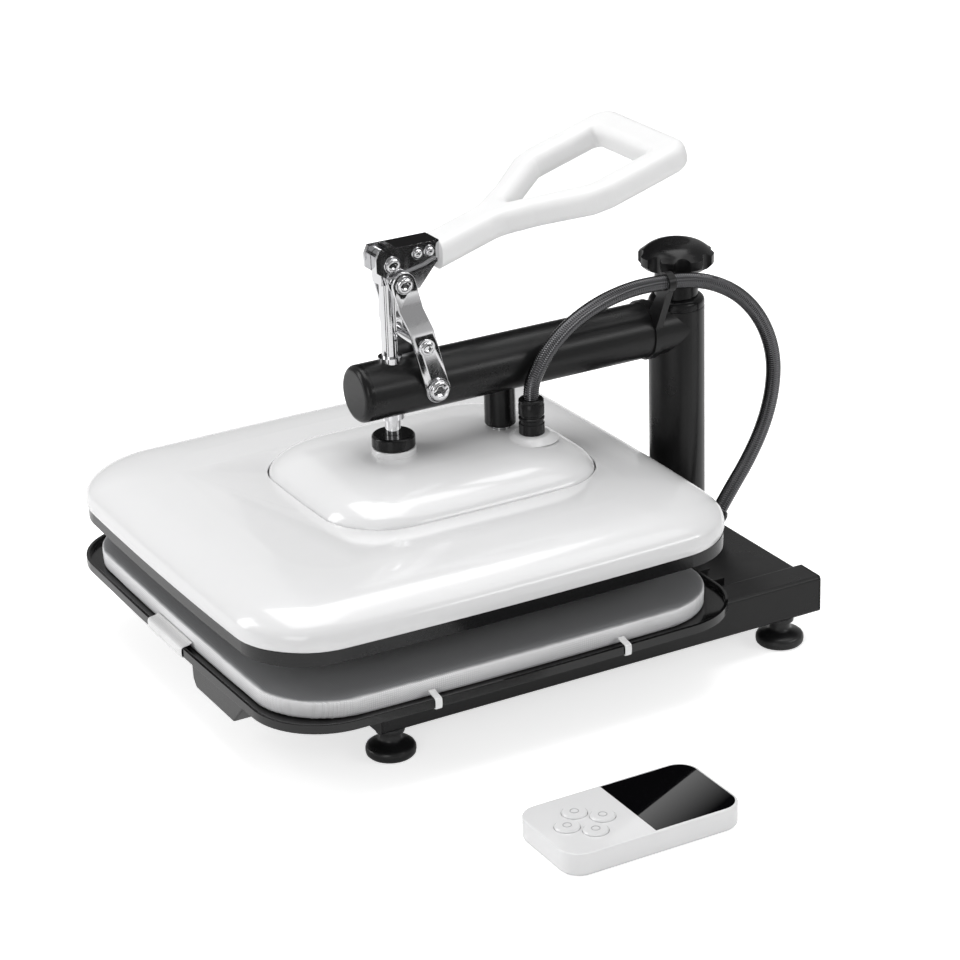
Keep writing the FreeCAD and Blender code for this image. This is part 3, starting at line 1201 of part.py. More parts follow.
def make_platen_gland():
    body = new_body("gland_turned")
    waist = "gland_bottom + gland_height * 0.46"
    revolve(body, "gland_profile", [
        ("0", "gland_bottom"), ("gland_radius", "gland_bottom"), ("gland_radius", f"{waist} - 1"),
        ("gland_radius - 1", waist), ("gland_radius - 1", f"{waist} + 1"), ("gland_radius", f"{waist} + 2"),
        ("gland_radius", "gland_top - 4"), ("gland_radius - 2", "gland_top"), ("0", "gland_top")])
    locate(body, "gland_side", "gland_back", "0")
    as_node(body, "platen_gland")


# ---------------------------------------------------------------- bed

def make_pan():
    body = slab("pan_plate", "pan_half_width", "pan_half_depth", "pan_middle", "side_bow", "pan_corner",
                "bed_level", "rim_top")
    hollow = slab("pan_hollow", "pan_half_width - pan_lip", "pan_half_depth - pan_lip", "pan_middle", "side_bow",
                  "pan_corner - pan_lip", "bed_top", "rim_top + 1")
    as_node(cut("pan_cut", body, [hollow]), "tray_pan")


def make_pad():
    body = slab("pad_block", "pad_half_width", "pad_half_depth", "pad_middle", "side_bow", "pad_corner",
                "bed_top", "pad_top")
    top = body.Tip
    round_edges(body, "pad_edges", top, edges_level(top, value("pad_top")), "pad_rounding")
    as_node(body, "pad")


def strap_profile(edge, inward, sign):
    """Flat band round the rim: over it, down its outside and under the pan."""
    out = f"{edge} + strap_thick"
    low, high = "bed_level - strap_thick", "rim_top + strap_thick"
    loop = [(inward, "rim_top"), (edge, "rim_top"), (edge, "bed_level"), (f"{out} - strap_under", "bed_level"),
            (f"{out} - strap_under", low), (out, low), (out, high), (inward, high)]
    if sign < 0:
        loop = [(f"-({x})", z) for x, z in reversed(loop)]
    return loop


def make_straps():
    parts = []
    for tag, sign in (("left", -1), ("right", 1)):
        for where, back, fall in (("front", "strap_front", "strap_fall"), ("rear", "strap_rear", "strap_fall_rear")):
            body = new_body(f"strap_{where}_{tag}")
            edge = f"pan_half_width - {fall}"
            loop = strap_profile(edge, f"pad_half_width - {fall} + slide_gap + 0.3", sign)
            pad(body, f"strap_pad_{where}_{tag}", "XZ", loop, f"{back} - strap_width / 2", f"{back} + strap_width / 2")
            parts.append(body)
    as_node(fuse("strap_set", parts), "pad_straps")
    band = new_body("front_band_loop")
    loop = strap_profile("-pan_front", "pad_half_depth - pad_middle + slide_gap + 0.2", -1)
    pad(band, "front_band_pad", "YZ", loop, "band_left", "band_right")
    as_node(band, "fabric_tag")


def make_pull():
    """Scooped grip under the pan's front edge, open to the rear."""
    body = new_body("pull_block")
    front = "pull_inset + pan_front"
    low = "bed_level - pull_drop"
    block = pad(body, "pull_pad", "XZ", [
        ("pull_left", "bed_level"), ("pull_left + 1", f"{low} + 6"), ("pull_left + 6", low),
        ("pull_right - 20", low), ("pull_right", "bed_level")], front, f"{front} + pull_depth")
    pocket(body, "pull_scoop", "XZ", [
        ("pull_left + pull_wall", "bed_level - pull_wall"), ("pull_left + pull_wall + 1", f"{low} + 7"),
        ("pull_left + pull_wall + 5", f"{low} + pull_wall"), ("pull_right - 22", f"{low} + pull_wall"),
        ("pull_right - pull_wall - 5", "bed_level - pull_wall")], f"{front} + pull_wall",
        f"{front} + pull_depth + 1")
    as_node(body, "tray_pull")


# ---------------------------------------------------------------- control unit

BUTTONS = {"up": (0, 1), "down": (0, -1), "left": (-1, 0), "right": (1, 0)}


def button_spot(tag):
    across, back = BUTTONS[tag]
    return f"control_axis + {across} * button_pitch", f"button_back + {back} * button_pitch"


def glass_outline(gap):
    """Outline of the glass, square in front and with the unit's own corners at the rear."""
    left, right = f"control_inner + glass_margin + {gap}", f"control_outer - glass_margin - {gap}"
    rear = f"control_rear - glass_margin - {gap}"
    corner = "(control_corner - glass_margin)"
    front = f"control_rear - glass_margin - glass_length + {gap}"
    return [(left, front), (right, front), (right, f"{rear} - {corner}", f"{corner} * 0.29289"),
            (f"{right} - {corner}", rear), (f"{left} + {corner}", rear, f"{corner} * 0.29289"),
            (left, f"{rear} - {corner}")]


def make_control_unit():
    body = new_body("control_block")
    block = pad(body, "control_pad", "XY", rectangle("control_inner", "control_outer", "control_front",
                                                     "control_rear"), "0", "control_height")
    block = round_edges(body, "control_corners", block, edges_along(block, Z), "control_corner")
    block = round_edges(body, "control_lower", block, edges_level(block, 0), "control_edge")
    round_edges(body, "control_upper", block, edges_level(block, value("control_height")), "control_edge / 4")
    pocket(body, "glass_recess", "XY", glass_outline("0"), "control_height - glass_thick", "control_height + 1")
    tall = "control_height - glass_thick"
    middle = "control_rear - glass_margin - glass_length / 2"
    display = rectangle("control_axis - display_width / 2", "control_axis + display_width / 2",
                        f"{middle} - display_length / 2", f"{middle} + display_length / 2")
    pocket(body, "display_recess", "XY", display, f"{tall} - display_thick", f"{tall} + 1")
    for tag in BUTTONS:
        pocket(body, "button_well_" + tag, "XY", (*button_spot(tag), "button_radius + button_gap"),
               "control_height + button_proud - button_thick - button_floor", "control_height + 1")
    as_node(body, "control_base")
    glass = new_body("glass_plate")
    pad(glass, "glass_pad", "XY", glass_outline("seat_gap"), tall, "control_height")
    as_node(glass, "control_face")
    as_node(box("display_block", (f"{display[0][0]} + seat_gap", f"{display[1][0]} - seat_gap"),
                (f"{display[0][1]} + seat_gap", f"{display[2][1]} - seat_gap"),
                (f"{tall} - display_thick", tall)), "display")
    for tag in BUTTONS:
        button = new_body("button_turned_" + tag)
        top = "control_height + button_proud"
        revolve(button, "button_profile_" + tag, [
            ("0", f"{top} - button_thick"), ("button_radius", f"{top} - button_thick"),
            ("button_radius", f"{top} - 1"), ("button_radius - 1", top), ("0", top)])
        x, y = button_spot(tag)
        locate(button, x, y, "0")
        as_node(button, "button_" + tag)


# ---------------------------------------------------------------- hose

def routed_tube(points, radius):
    """Tube along straight runs joined by tangent arcs as large as the runs allow."""
    edges, start, radii = [], points[0], []
    for before, corner, after in zip(points, points[1:], points[2:]):
        back, on = before - corner, after - corner
        room = 0.45 * min(back.Length, on.Length)
        turn = math.pi - back.getAngle(on)
        radii.append(room / math.tan(turn / 2))
        back.normalize()
        on.normalize()
        first, last = corner + back * room, corner + on * room
        bisector = (back + on).normalize()
        centre_gap = radii[-1] / math.cos(turn / 2)
        middle = corner + bisector * (centre_gap - radii[-1])
        edges.append(Part.LineSegment(start, first).toShape())
        edges.append(Part.Arc(first, middle, last).toShape())
        start = last
    edges.append(Part.LineSegment(start, points[-1]).toShape())
    path = Part.Wire(edges)
    way = points[1] - points[0]
    section = Part.Wire([Part.makeCircle(radius, points[0], way)])
    tube = path.makePipeShell([section], True, False)
    expected = math.pi * radius ** 2 * path.Length
    print("hose length %.1f, radii %s, volume %.4f of expected"
          % (path.Length, ", ".join("%.0f" % number for number in radii), tube.Volume / expected))
    return tube


def make_hose():
    radius = value("hose_radius")
    ahead, behind = (point("clip_side", f"clip_back {sign} hose_joint", "clip_level") for sign in "-+")
    gland = point("gland_side", "gland_back", "gland_top")
    outlet = point("outlet_side", "outlet_back", "outlet_level")
    upper = [gland] + [FreeCAD.Vector(*spot) for spot in HOSE_UPPER] + [ahead]
    lower = [behind] + [FreeCAD.Vector(*spot) for spot in HOSE_LOWER] + [outlet]
    as_node(shape_feature("hose_upper_tube", routed_tube(upper, radius)), "hose_upper")
    as_node(shape_feature("hose_lower_tube", routed_tube(lower, radius)), "hose_lower")


def make_base_gland():
    """Leaning outlet of the rear housing, trimmed flush with its top."""
    body = new_body("outlet_turned")
    revolve(body, "outlet_profile", [
        ("0", "-40"), ("outlet_radius", "-40"), ("outlet_radius", "-14"), ("outlet_radius - 1", "-13"),
        ("outlet_radius - 1", "-12"), ("outlet_radius", "-11"), ("outlet_radius", "-3"),
        ("outlet_radius - 1.5", "0"), ("0", "0")])
    locate(body, "outlet_side", "outlet_back", "outlet_level", FreeCAD.Rotation(X, -value("outlet_tilt")))
    bind(body, "Placement.Rotation.Angle", "-outlet_tilt")
    below = box("outlet_trim", ("outlet_side - 40", "outlet_side + 40"), ("outlet_back - 80", "outlet_back + 40"),
                ("deck - 60", "deck"))
    seat = cylinder("outlet_seat", "outlet_radius + 4.5", "2.5", "outlet_side", "outlet_foot", "deck")
    as_node(cut("outlet_cut", fuse("outlet_fused", [body, seat]), [below]), "base_gland")


# ---------------------------------------------------------------- whole press

def build_press():
    fill_sheet()
    make_rails()
    make_rail_plugs()
    make_cross_member()
    make_housing()
    make_column_post()
    make_runners()
    make_feet()
    make_inlet()
    make_switch()
    make_sleeve()
    make_swivel_bushes()
    make_column_cap()
    make_arm_tube()
    make_end_cap()
    make_plunger_bush()
    make_guide_sleeve()
    make_link_pivot()
    make_hose_clip()
    make_knob()
    make_side_links()
    make_link_bolts()
    make_lever_bracket()
    make_lever_pins()
    make_handle()
    make_plunger()
    make_heat_stack()
    make_cover()
    make_panel()
    make_platen_gland()
    make_pan()
    make_pad()
    make_straps()
    make_pull()
    make_control_unit()
    make_hose()
    make_base_gland()
    document.recompute()


def check_press():
    """Stop before anything is written if an object failed or a piece isn't sound."""
    for thing in document.Objects:
        if "Invalid" in thing.State or "Error" in thing.State:
            raise RuntimeError(f"{thing.Name} ({thing.Label}) failed: {thing.State}")
    for node in nodes:
        if node.Shape.isNull() or not node.Shape.isValid() or not node.Shape.Solids:
            raise RuntimeError(node.Label + " isn't a sound solid")


def write_press():
    os.makedirs("parts", exist_ok=True)
    for node in nodes:
        node.Shape.exportStep(f"parts/{node.Label}.step")
    print(len(nodes), "pieces written")


build_press()
check_press()
write_press()
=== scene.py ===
import bpy
import bmesh
import json
import math
from mathutils import Matrix, Vector
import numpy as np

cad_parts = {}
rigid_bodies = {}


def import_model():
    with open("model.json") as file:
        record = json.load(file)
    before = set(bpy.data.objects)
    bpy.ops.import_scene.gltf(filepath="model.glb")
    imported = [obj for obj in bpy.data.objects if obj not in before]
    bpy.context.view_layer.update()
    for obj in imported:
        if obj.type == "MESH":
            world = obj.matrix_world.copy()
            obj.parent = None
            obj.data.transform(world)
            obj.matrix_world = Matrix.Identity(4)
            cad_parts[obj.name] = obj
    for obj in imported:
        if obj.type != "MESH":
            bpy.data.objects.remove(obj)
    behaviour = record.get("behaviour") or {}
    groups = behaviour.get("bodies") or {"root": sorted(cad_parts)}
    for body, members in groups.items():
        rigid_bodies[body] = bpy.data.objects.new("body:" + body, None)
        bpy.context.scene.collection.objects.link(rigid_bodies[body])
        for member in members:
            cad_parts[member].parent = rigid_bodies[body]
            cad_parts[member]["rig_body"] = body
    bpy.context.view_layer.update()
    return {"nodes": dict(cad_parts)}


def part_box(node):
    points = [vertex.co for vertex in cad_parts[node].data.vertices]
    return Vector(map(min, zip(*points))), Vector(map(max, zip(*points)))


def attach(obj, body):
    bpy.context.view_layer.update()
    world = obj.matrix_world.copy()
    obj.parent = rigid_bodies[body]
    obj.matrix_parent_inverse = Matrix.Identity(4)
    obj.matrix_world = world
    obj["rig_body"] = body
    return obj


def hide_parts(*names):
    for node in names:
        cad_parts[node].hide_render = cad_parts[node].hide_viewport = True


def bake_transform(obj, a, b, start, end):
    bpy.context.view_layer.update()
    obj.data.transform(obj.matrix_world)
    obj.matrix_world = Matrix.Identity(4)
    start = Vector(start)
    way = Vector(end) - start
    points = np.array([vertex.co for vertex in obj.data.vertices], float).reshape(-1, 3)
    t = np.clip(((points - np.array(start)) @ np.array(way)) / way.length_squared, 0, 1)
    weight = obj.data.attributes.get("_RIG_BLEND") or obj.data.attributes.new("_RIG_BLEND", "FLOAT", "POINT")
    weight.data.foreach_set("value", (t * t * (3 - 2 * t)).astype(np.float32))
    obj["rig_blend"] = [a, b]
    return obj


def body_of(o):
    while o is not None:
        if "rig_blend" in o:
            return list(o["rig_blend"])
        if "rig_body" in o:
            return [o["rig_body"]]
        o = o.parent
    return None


bl_info = {
    "name": "Swing-away heat press",
    "version": (1, 0, 0),
    "blender": (4, 5, 0),
    "location": "View3D > Sidebar > Heat press",
    "description": "Shells, bed, hose, linkage and finishes of a bench heat press",
    "category": "Object",
}

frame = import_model()
NODES = frame["nodes"]
MM = 0.001


def middle(node):
    low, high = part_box(node)
    return (low + high) / 2


def below(node):
    """The point of the table under a node's middle."""
    spot = middle(node)
    return Vector((spot.x, spot.y, 0))


def footprint(node, inset=0.0):
    """Half widths of a node's box less an inset, the middle of its underside, and its height."""
    low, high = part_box(node)
    half = ((high.x - low.x) / 2 - inset, (high.y - low.y) / 2 - inset)
    return half, Vector(((low.x + high.x) / 2, (low.y + high.y) / 2, low.z)), high.z - low.z


# The column's axis in the shared frame, and how far it stands behind the press's own origin in millimetres
AXIS_X, AXIS_Y = middle("column_sleeve").x, middle("column_sleeve").y
COLUMN_BACK = 256


def at(x, y, z):
    """A point of the press, in millimetres from its centre plane and the table, in the shared frame."""
    return Vector((AXIS_X + x * MM, AXIS_Y + (y - COLUMN_BACK) * MM, z * MM))


# -------------------- what a user may change

def length_option(label, text, size, least=0.0):
    return bpy.props.FloatProperty(name=label, description=text, default=size, min=least, unit="LENGTH")


def colour_option(label, text, tone):
    return bpy.props.FloatVectorProperty(name=label, description=text, default=tone, size=3, subtype="COLOR")


class PressSizes(bpy.types.PropertyGroup):
    hose_pitch: length_option("Hose pitch", "Distance between two rings of the hose", 0.0017, 0.001)
    hose_groove: length_option("Hose groove", "Depth of the grooves between the rings", 0.0003)
    cover_wall: length_option("Cover wall", "Thickness of the moulded shells", 0.003, 0.001)
    pad_swell: length_option("Pad swell", "How far the pad's cloth may stand out", 0.0009)
    plate_edge: length_option("Plate edge", "Chamfer on the edges of pressed plates", 0.0005)


class PressColours(bpy.types.PropertyGroup):
    enamel: colour_option("Shell white", "Gloss white of the cover and the control unit", (0.84, 0.84, 0.845))
    handle: colour_option("Handle white", "Satin white of the handle", (0.9, 0.9, 0.9))
    powder: colour_option("Frame black", "Powder coat of the frame", (0.008, 0.008, 0.0083))
    moulded: colour_option("Moulded black", "Black plastic", (0.008, 0.008, 0.0083))
    chrome: colour_option("Chrome", "Plated linkage", (0.72, 0.72, 0.73))
    # Pad grey is painted shade: the darker grey that the pad's faces looking up take, as under the platen.
    pad: colour_option("Pad grey", "Working face of the pad", (0.27, 0.273, 0.282))
    pad_side: colour_option("Pad side", "Light cloth round the pad's sides", (0.92, 0.92, 0.93))
    elastic: colour_option("Elastic white", "Straps and front band", (0.92, 0.92, 0.92))
    floor: colour_option("Floor", "Studio floor", (0.9, 0.9, 0.9))


def sizes():
    return bpy.context.scene.press_sizes


def chosen(name):
    """A colour as the user has set it."""
    return tuple(getattr(bpy.context.scene.press_colours, name))


# -------------------- shared effects

PEEL_HEIGHT = 0.0004
LINE_HEIGHT = 0.0002
THREAD_HEIGHT = 0.0004
DUST_TONE = (0.12, 0.12, 0.122)


def new_group(name, outputs, **numbers):
    """A node group with a Vector input, an input for each number or vector given, and its outputs."""
    group = bpy.data.node_groups.new(name, "ShaderNodeTree")
    group.interface.new_socket("Vector", in_out="INPUT", socket_type="NodeSocketVector")
    for label, number in numbers.items():
        kind = "NodeSocketVector" if isinstance(number, tuple) else "NodeSocketFloat"
        group.interface.new_socket(label, in_out="INPUT", socket_type=kind).default_value = number
    for label, kind in outputs.items():
        group.interface.new_socket(label, in_out="OUTPUT", socket_type="NodeSocket" + kind)
    return group, group.nodes.new("NodeGroupInput").outputs, group.nodes.new("NodeGroupOutput").inputs


def place(tree, kind, **inputs):
    """A node with its inputs set: a socket is linked, anything else is a plain value."""
    node = tree.nodes.new(kind)
    settings = inputs.pop("settings", {})
    for key, number in settings.items():
        setattr(node, key, number)
    for key, source in inputs.items():
        numbered = key[0] == "i" and key[1:].isdigit()
        socket = node.inputs[int(key[1:]) if numbered else key.replace("_", " ")]
        if isinstance(source, bpy.types.NodeSocket):
            tree.links.new(source, socket)
        else:
            socket.default_value = source
    return node


def handed_out(group, out, **results):
    for label, source in results.items():
        group.links.new(source, out[label])
    return group


def maths(tree, operation, *terms):
    inputs = {f"i{number}": term for number, term in enumerate(terms)}
    return place(tree, "ShaderNodeMath", settings={"operation": operation}, **inputs).outputs[0]


def noise(tree, where, scale, detail, rough=0.5):
    return place(tree, "ShaderNodeTexNoise", Vector=where, Scale=scale, Detail=detail, Roughness=rough).outputs["Fac"]


def spread(tree, value, low, high, to_low=0.0, to_high=1.0):
    """One range laid over another."""
    return place(tree, "ShaderNodeMapRange", Value=value, From_Min=low, From_Max=high, To_Min=to_low,
                 To_Max=to_high).outputs["Result"]


def bump(tree, height, depth, reach):
    return place(tree, "ShaderNodeBump", Height=height, Strength=depth, Distance=reach).outputs["Normal"]


def upward(tree):
    """How far a face looks up, from -1 to 1."""
    normal = place(tree, "ShaderNodeNewGeometry").outputs["Normal"]
    return place(tree, "ShaderNodeSeparateXYZ", Vector=normal).outputs["Z"]


def mottle_group():
    """Slow change of a value over a surface, such as roughness."""
    group, given, out = new_group("mottle", {"Value": "Float"}, Scale=20.0, Low=0.3, High=0.4)
    cloud = noise(group, given["Vector"], given["Scale"], 4.0, 0.6)
    return handed_out(group, out, Value=spread(group, cloud, 0.3, 0.7, given["Low"], given["High"]))


def peel_group():
    """Fine pebbled skin of powder coat or moulded plastic."""
    group, given, out = new_group("peel", {"Normal": "Vector"}, Scale=900.0, Depth=0.1)
    coarse = noise(group, given["Vector"], given["Scale"], 2.0)
    return handed_out(group, out, Normal=bump(group, coarse, given["Depth"], PEEL_HEIGHT))


def brushed_group():
    """Fine lines along one axis, from a stretched noise."""
    group, given, out = new_group("brushed", {"Value": "Float", "Normal": "Vector"}, Stretch=(1, 1, 1),
                                  Scale=300.0, Depth=0.05, Low=0.1, High=0.2)
    stretched = place(group, "ShaderNodeVectorMath", i0=given["Vector"], i1=given["Stretch"],
                      settings={"operation": "MULTIPLY"}).outputs[0]
    lines = noise(group, stretched, given["Scale"], 3.0)
    return handed_out(group, out, Value=spread(group, lines, 0.3, 0.7, given["Low"], given["High"]),
                      Normal=bump(group, lines, given["Depth"], LINE_HEIGHT))


def weave_group():
    """Plain weave: crossed waves, broken a little by noise. The mask is 1 on the crowns of the threads."""
    group, given, out = new_group("weave", {"Mask": "Float", "Normal": "Vector"}, Pitch=1000.0, Depth=0.5, Fuzz=0.2)
    scaled = place(group, "ShaderNodeVectorMath", i0=given["Vector"], Scale=given["Pitch"],
                   settings={"operation": "SCALE"}).outputs[0]
    parts = place(group, "ShaderNodeSeparateXYZ", Vector=scaled).outputs
    x, y, z = (maths(group, "SINE", parts[letter]) for letter in "XYZ")
    across, along, upright = (maths(group, "MULTIPLY", *pair) for pair in ((x, y), (x, z), (y, z)))
    threads = maths(group, "ADD", maths(group, "ADD", across, along), upright)
    fuzz = maths(group, "MULTIPLY", noise(group, scaled, 0.9, 3.0), given["Fuzz"])
    mask = spread(group, maths(group, "ADD", threads, fuzz), -1.0, 1.4)
    return handed_out(group, out, Mask=mask, Normal=bump(group, mask, given["Depth"], THREAD_HEIGHT))


def dust_group():
    """Mask of light dust and handling marks, mostly on faces that look up."""
    group, given, out = new_group("dust", {"Mask": "Float"}, Amount=0.1)
    up = spread(group, upward(group), -0.2, 1.0, 0.15, 1.0)
    thin = spread(group, noise(group, given["Vector"], 28.0, 6.0, 0.65), 0.42, 0.75)
    return handed_out(group, out, Mask=maths(group, "MULTIPLY", maths(group, "MULTIPLY", up, thin), given["Amount"]))


# -------------------- finishes

EFFECTS = {}
FINISHES = {}


def effect(tree, name, **inputs):
    node = place(tree, "ShaderNodeGroup", settings={"node_tree": EFFECTS[name]}, **inputs)
    return node.outputs


def new_finish(name, colour, **sockets):
    """A Principled material: its tree, its Object coordinates and its shader."""
    material = bpy.data.materials.new(name)
    material.use_nodes = True
    tree = material.node_tree
    shader = tree.nodes["Principled BSDF"]
    shader.inputs["Base Color"].default_value = (*colour, 1)
    for key, number in sockets.items():
        shader.inputs[key.replace("_", " ")].default_value = number
    material.diffuse_color = (*colour, 1)
    FINISHES[name] = material
    where = place(tree, "ShaderNodeTexCoord").outputs["Object"]
    return tree, where, shader


def blended(tree, mask, first, second):
    """A colour that runs from the first to the second by a mask; each is a plain colour or a socket."""
    first, second = (tone if isinstance(tone, bpy.types.NodeSocket) else (*tone, 1) for tone in (first, second))
    return place(tree, "ShaderNodeMix", settings={"data_type": "RGBA"}, i0=mask, i6=first, i7=second).outputs[2]


def dusted(tree, where, shader, amount, colour, towards):
    """Base colour moved towards another by dust."""
    mask = effect(tree, "dust", Vector=where, Amount=amount)["Mask"]
    tree.links.new(blended(tree, mask, colour, towards), shader.inputs["Base Color"])


def shade(colour, share):
    return tuple(channel * share for channel in colour)


def make_coat(name, colour, rough, dust=None, skin=None, **sockets):
    """Plain coat: roughness as (scale, low, high), dust as (amount, tone) and a skin as (scale, depth)."""
    tree, where, shader = new_finish(name, colour, **sockets)
    mottled = effect(tree, "mottle", Vector=where, Scale=rough[0], Low=rough[1], High=rough[2])["Value"]
    tree.links.new(mottled, shader.inputs["Roughness"])
    if dust:
        dusted(tree, where, shader, dust[0], colour, dust[1])
    if skin:
        peel = effect(tree, "peel", Vector=where, Scale=skin[0], Depth=skin[1])["Normal"]
        tree.links.new(peel, shader.inputs["Normal"])


def make_plain(name, colour, low, high, scale, depth, dust, gloss=0.32):
    """Powder coat or plastic: range of roughness, scale and depth of the skin, dust and gloss."""
    make_coat(name, colour, (24.0, low, high), (dust, DUST_TONE), (scale, depth), IOR=1.5, Specular_IOR_Level=gloss)


def make_metal(name, colour, stretch, scale, depth, low, high, marks=0.12):
    """Metal with fine lines: their stretch, scale and depth, range of roughness and handling marks."""
    tree, where, shader = new_finish(name, colour, Metallic=1.0)
    lines = effect(tree, "brushed", Vector=where, Stretch=stretch, Scale=scale, Depth=depth, Low=low, High=high)
    tree.links.new(lines["Value"], shader.inputs["Roughness"])
    tree.links.new(lines["Normal"], shader.inputs["Normal"])
    dusted(tree, where, shader, marks, colour, shade(colour, 0.6))


def make_cloth(name, colour, pitch, depth, fuzz, sheen, top=None):
    """Woven cloth; a second colour may take the faces that look up, as painted shade on the top."""
    tree, where, shader = new_finish(name, colour, Roughness=0.85, Sheen_Weight=sheen, Sheen_Roughness=0.5)
    cloth = effect(tree, "weave", Vector=where, Pitch=pitch, Depth=depth, Fuzz=fuzz)
    tree.links.new(cloth["Normal"], shader.inputs["Normal"])
    cloud = effect(tree, "mottle", Vector=where, Scale=14.0, Low=0.0, High=0.35)["Value"]
    # The weave's height mask paints shade between the threads and lighter crowns; the mottle adds a random tone.
    weave_shade_and_mottle = maths(tree, "ADD", cloth["Mask"], cloud)
    tone = blended(tree, weave_shade_and_mottle, shade(colour, 0.78), shade(colour, 1.12))
    # The faces that look up take the darker top colour, which paints the shade under the platen on the pad.
    if top:
        face = blended(tree, weave_shade_and_mottle, shade(top, 0.8), shade(top, 1.15))
        tone = blended(tree, spread(tree, upward(tree), 0.45, 0.95), tone, face)
    tree.links.new(tone, shader.inputs["Base Color"])


def make_finishes():
    EFFECTS.update(mottle=mottle_group(), peel=peel_group(), brushed=brushed_group(), weave=weave_group(),
                   dust=dust_group())
    white, handle, powder, moulded, chrome = map(chosen, ("enamel", "handle", "powder", "moulded", "chrome"))
    make_coat("shell_gloss", white, (9.0, 0.16, 0.24), (0.1, shade(white, 0.86)), (160.0, 0.015),
              Coat_Weight=0.6, Coat_Roughness=0.06, IOR=1.5)
    make_coat("handle_satin", handle, (30.0, 0.38, 0.5), (0.18, shade(handle, 0.8)), (1300.0, 0.12),
              Coat_Weight=0.12, Coat_Roughness=0.35)
    make_coat("face_glass", (0.003, 0.003, 0.0035), (60.0, 0.03, 0.07), Coat_Weight=1.0, Coat_Roughness=0.02,
              IOR=1.52)
    make_coat("needle_felt", (0.72, 0.7, 0.62), (200.0, 0.85, 0.98), skin=(500.0, 0.9), Sheen_Weight=0.3)
    make_plain("powder_coat", powder, 0.26, 0.34, 900.0, 0.05, 0.05)
    make_plain("gloss_coat", shade(powder, 0.7), 0.14, 0.2, 420.0, 0.04, 0.04, 0.5)
    make_plain("moulded_black", moulded, 0.18, 0.26, 1100.0, 0.06, 0.03, 0.25)
    make_plain("foot_rubber", shade(moulded, 1.2), 0.26, 0.36, 900.0, 0.08, 0.08, 0.45)
    make_plain("plate_coating", (0.012, 0.012, 0.0125), 0.16, 0.22, 1500.0, 0.06, 0.02, 0.4)
    make_plain("ring_grey", (0.42, 0.42, 0.43), 0.25, 0.35, 900.0, 0.05, 0.05)
    make_plain("mica_sheet", (0.42, 0.35, 0.24), 0.3, 0.5, 300.0, 0.2, 0.1)
    make_metal("polished_chrome", chrome, (1, 1, 0.12), 260.0, 0.01, 0.05, 0.09)
    make_metal("turned_chrome", chrome, (0.1, 0.1, 1), 500.0, 0.02, 0.06, 0.1)
    make_metal("zinc_plate", (0.5, 0.51, 0.52), (1, 0.1, 1), 300.0, 0.08, 0.26, 0.4)
    make_metal("conduit_steel", (0.11, 0.11, 0.114), (1, 1, 1), 200.0, 0.02, 0.12, 0.18, 0.3)
    make_metal("sinter_bronze", (0.5, 0.33, 0.15), (1, 1, 0.2), 500.0, 0.05, 0.35, 0.5)
    # The pad grey on the faces that look up is painted shade under the platen.
    make_cloth("pad_cloth", chosen("pad_side"), 3800.0, 0.3, 0.8, 0.15, chosen("pad"))
    make_cloth("elastic_cloth", chosen("elastic"), 9000.0, 0.08, 0.5, 0.2)


def dress(piece, finish):
    piece.data.materials.clear()
    piece.data.materials.append(FINISHES[finish])


# -------------------- modelling by hand

def deselect():
    if bpy.context.object and bpy.context.object.mode != "OBJECT":
        bpy.ops.object.mode_set(mode="OBJECT")
    bpy.ops.object.select_all(action="DESELECT")


def focus(piece):
    deselect()
    piece.select_set(True)
    bpy.context.view_layer.objects.active = piece


def settle(piece):
    """Put the piece's place into its mesh."""
    focus(piece)
    bpy.ops.object.transform_apply(location=True, rotation=True, scale=True)
    return piece


def primitive(kind, name, **options):
    deselect()
    getattr(bpy.ops.mesh, f"primitive_{kind}_add")(**options)
    piece = bpy.context.object
    piece.name = piece.data.name = name
    return settle(piece)


def edit(piece, mode="VERT"):
    focus(piece)
    bpy.ops.object.mode_set(mode="EDIT")
    bpy.ops.mesh.select_mode(type=mode)


def edit_all(piece, mode="VERT"):
    edit(piece, mode)
    bpy.ops.mesh.select_all(action="SELECT")


def pick(piece, kind, test):
    """Select the edges or faces that pass a test."""
    mesh = bmesh.from_edit_mesh(piece.data)
    bpy.ops.mesh.select_all(action="DESELECT")
    found = [item for item in (mesh.edges if kind == "EDGE" else mesh.faces) if test(item)]
    for item in found:
        item.select_set(True)
    mesh.select_flush_mode()
    bmesh.update_edit_mesh(piece.data)
    if not found:
        raise RuntimeError(f"nothing to select on {piece.name}")


def lift(height):
    bpy.ops.mesh.extrude_region_move(TRANSFORM_OT_translate={"value": (0, 0, height)})


def widen(x, y, centre):
    bpy.ops.transform.resize(value=(x, y, 1), center_override=tuple(centre))


def outwards(piece):
    edit_all(piece)
    bpy.ops.mesh.remove_doubles(threshold=1e-6)
    bpy.ops.mesh.normals_make_consistent(inside=False)
    deselect()


def modify(piece, kind, **settings):
    focus(piece)
    modifier = piece.modifiers.new(kind.title(), kind)
    for key, number in settings.items():
        setattr(modifier, key, number)
    bpy.ops.object.modifier_apply(modifier=modifier.name)


def smooth(piece, degrees=30):
    focus(piece)
    bpy.ops.object.shade_smooth_by_angle(angle=math.radians(degrees))


def in_scene(name, data):
    """A new object in the scene that shows the data."""
    thing = bpy.data.objects.new(name, data)
    bpy.context.scene.collection.objects.link(thing)
    return thing


def removed(piece):
    bpy.data.objects.remove(piece, do_unlink=True)


def combined(piece, operation, *tools):
    """Join tools to a piece or take them away, and delete them."""
    for tool in tools:
        modify(piece, "BOOLEAN", operation=operation, object=tool, solver="EXACT")
        removed(tool)


def fitted(piece, body, finish, slot, *nodes):
    """Finish, body and the CAD nodes that a piece stands for."""
    dress(piece, finish)
    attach(piece, body)
    if nodes:
        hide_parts(*nodes)
    return piece


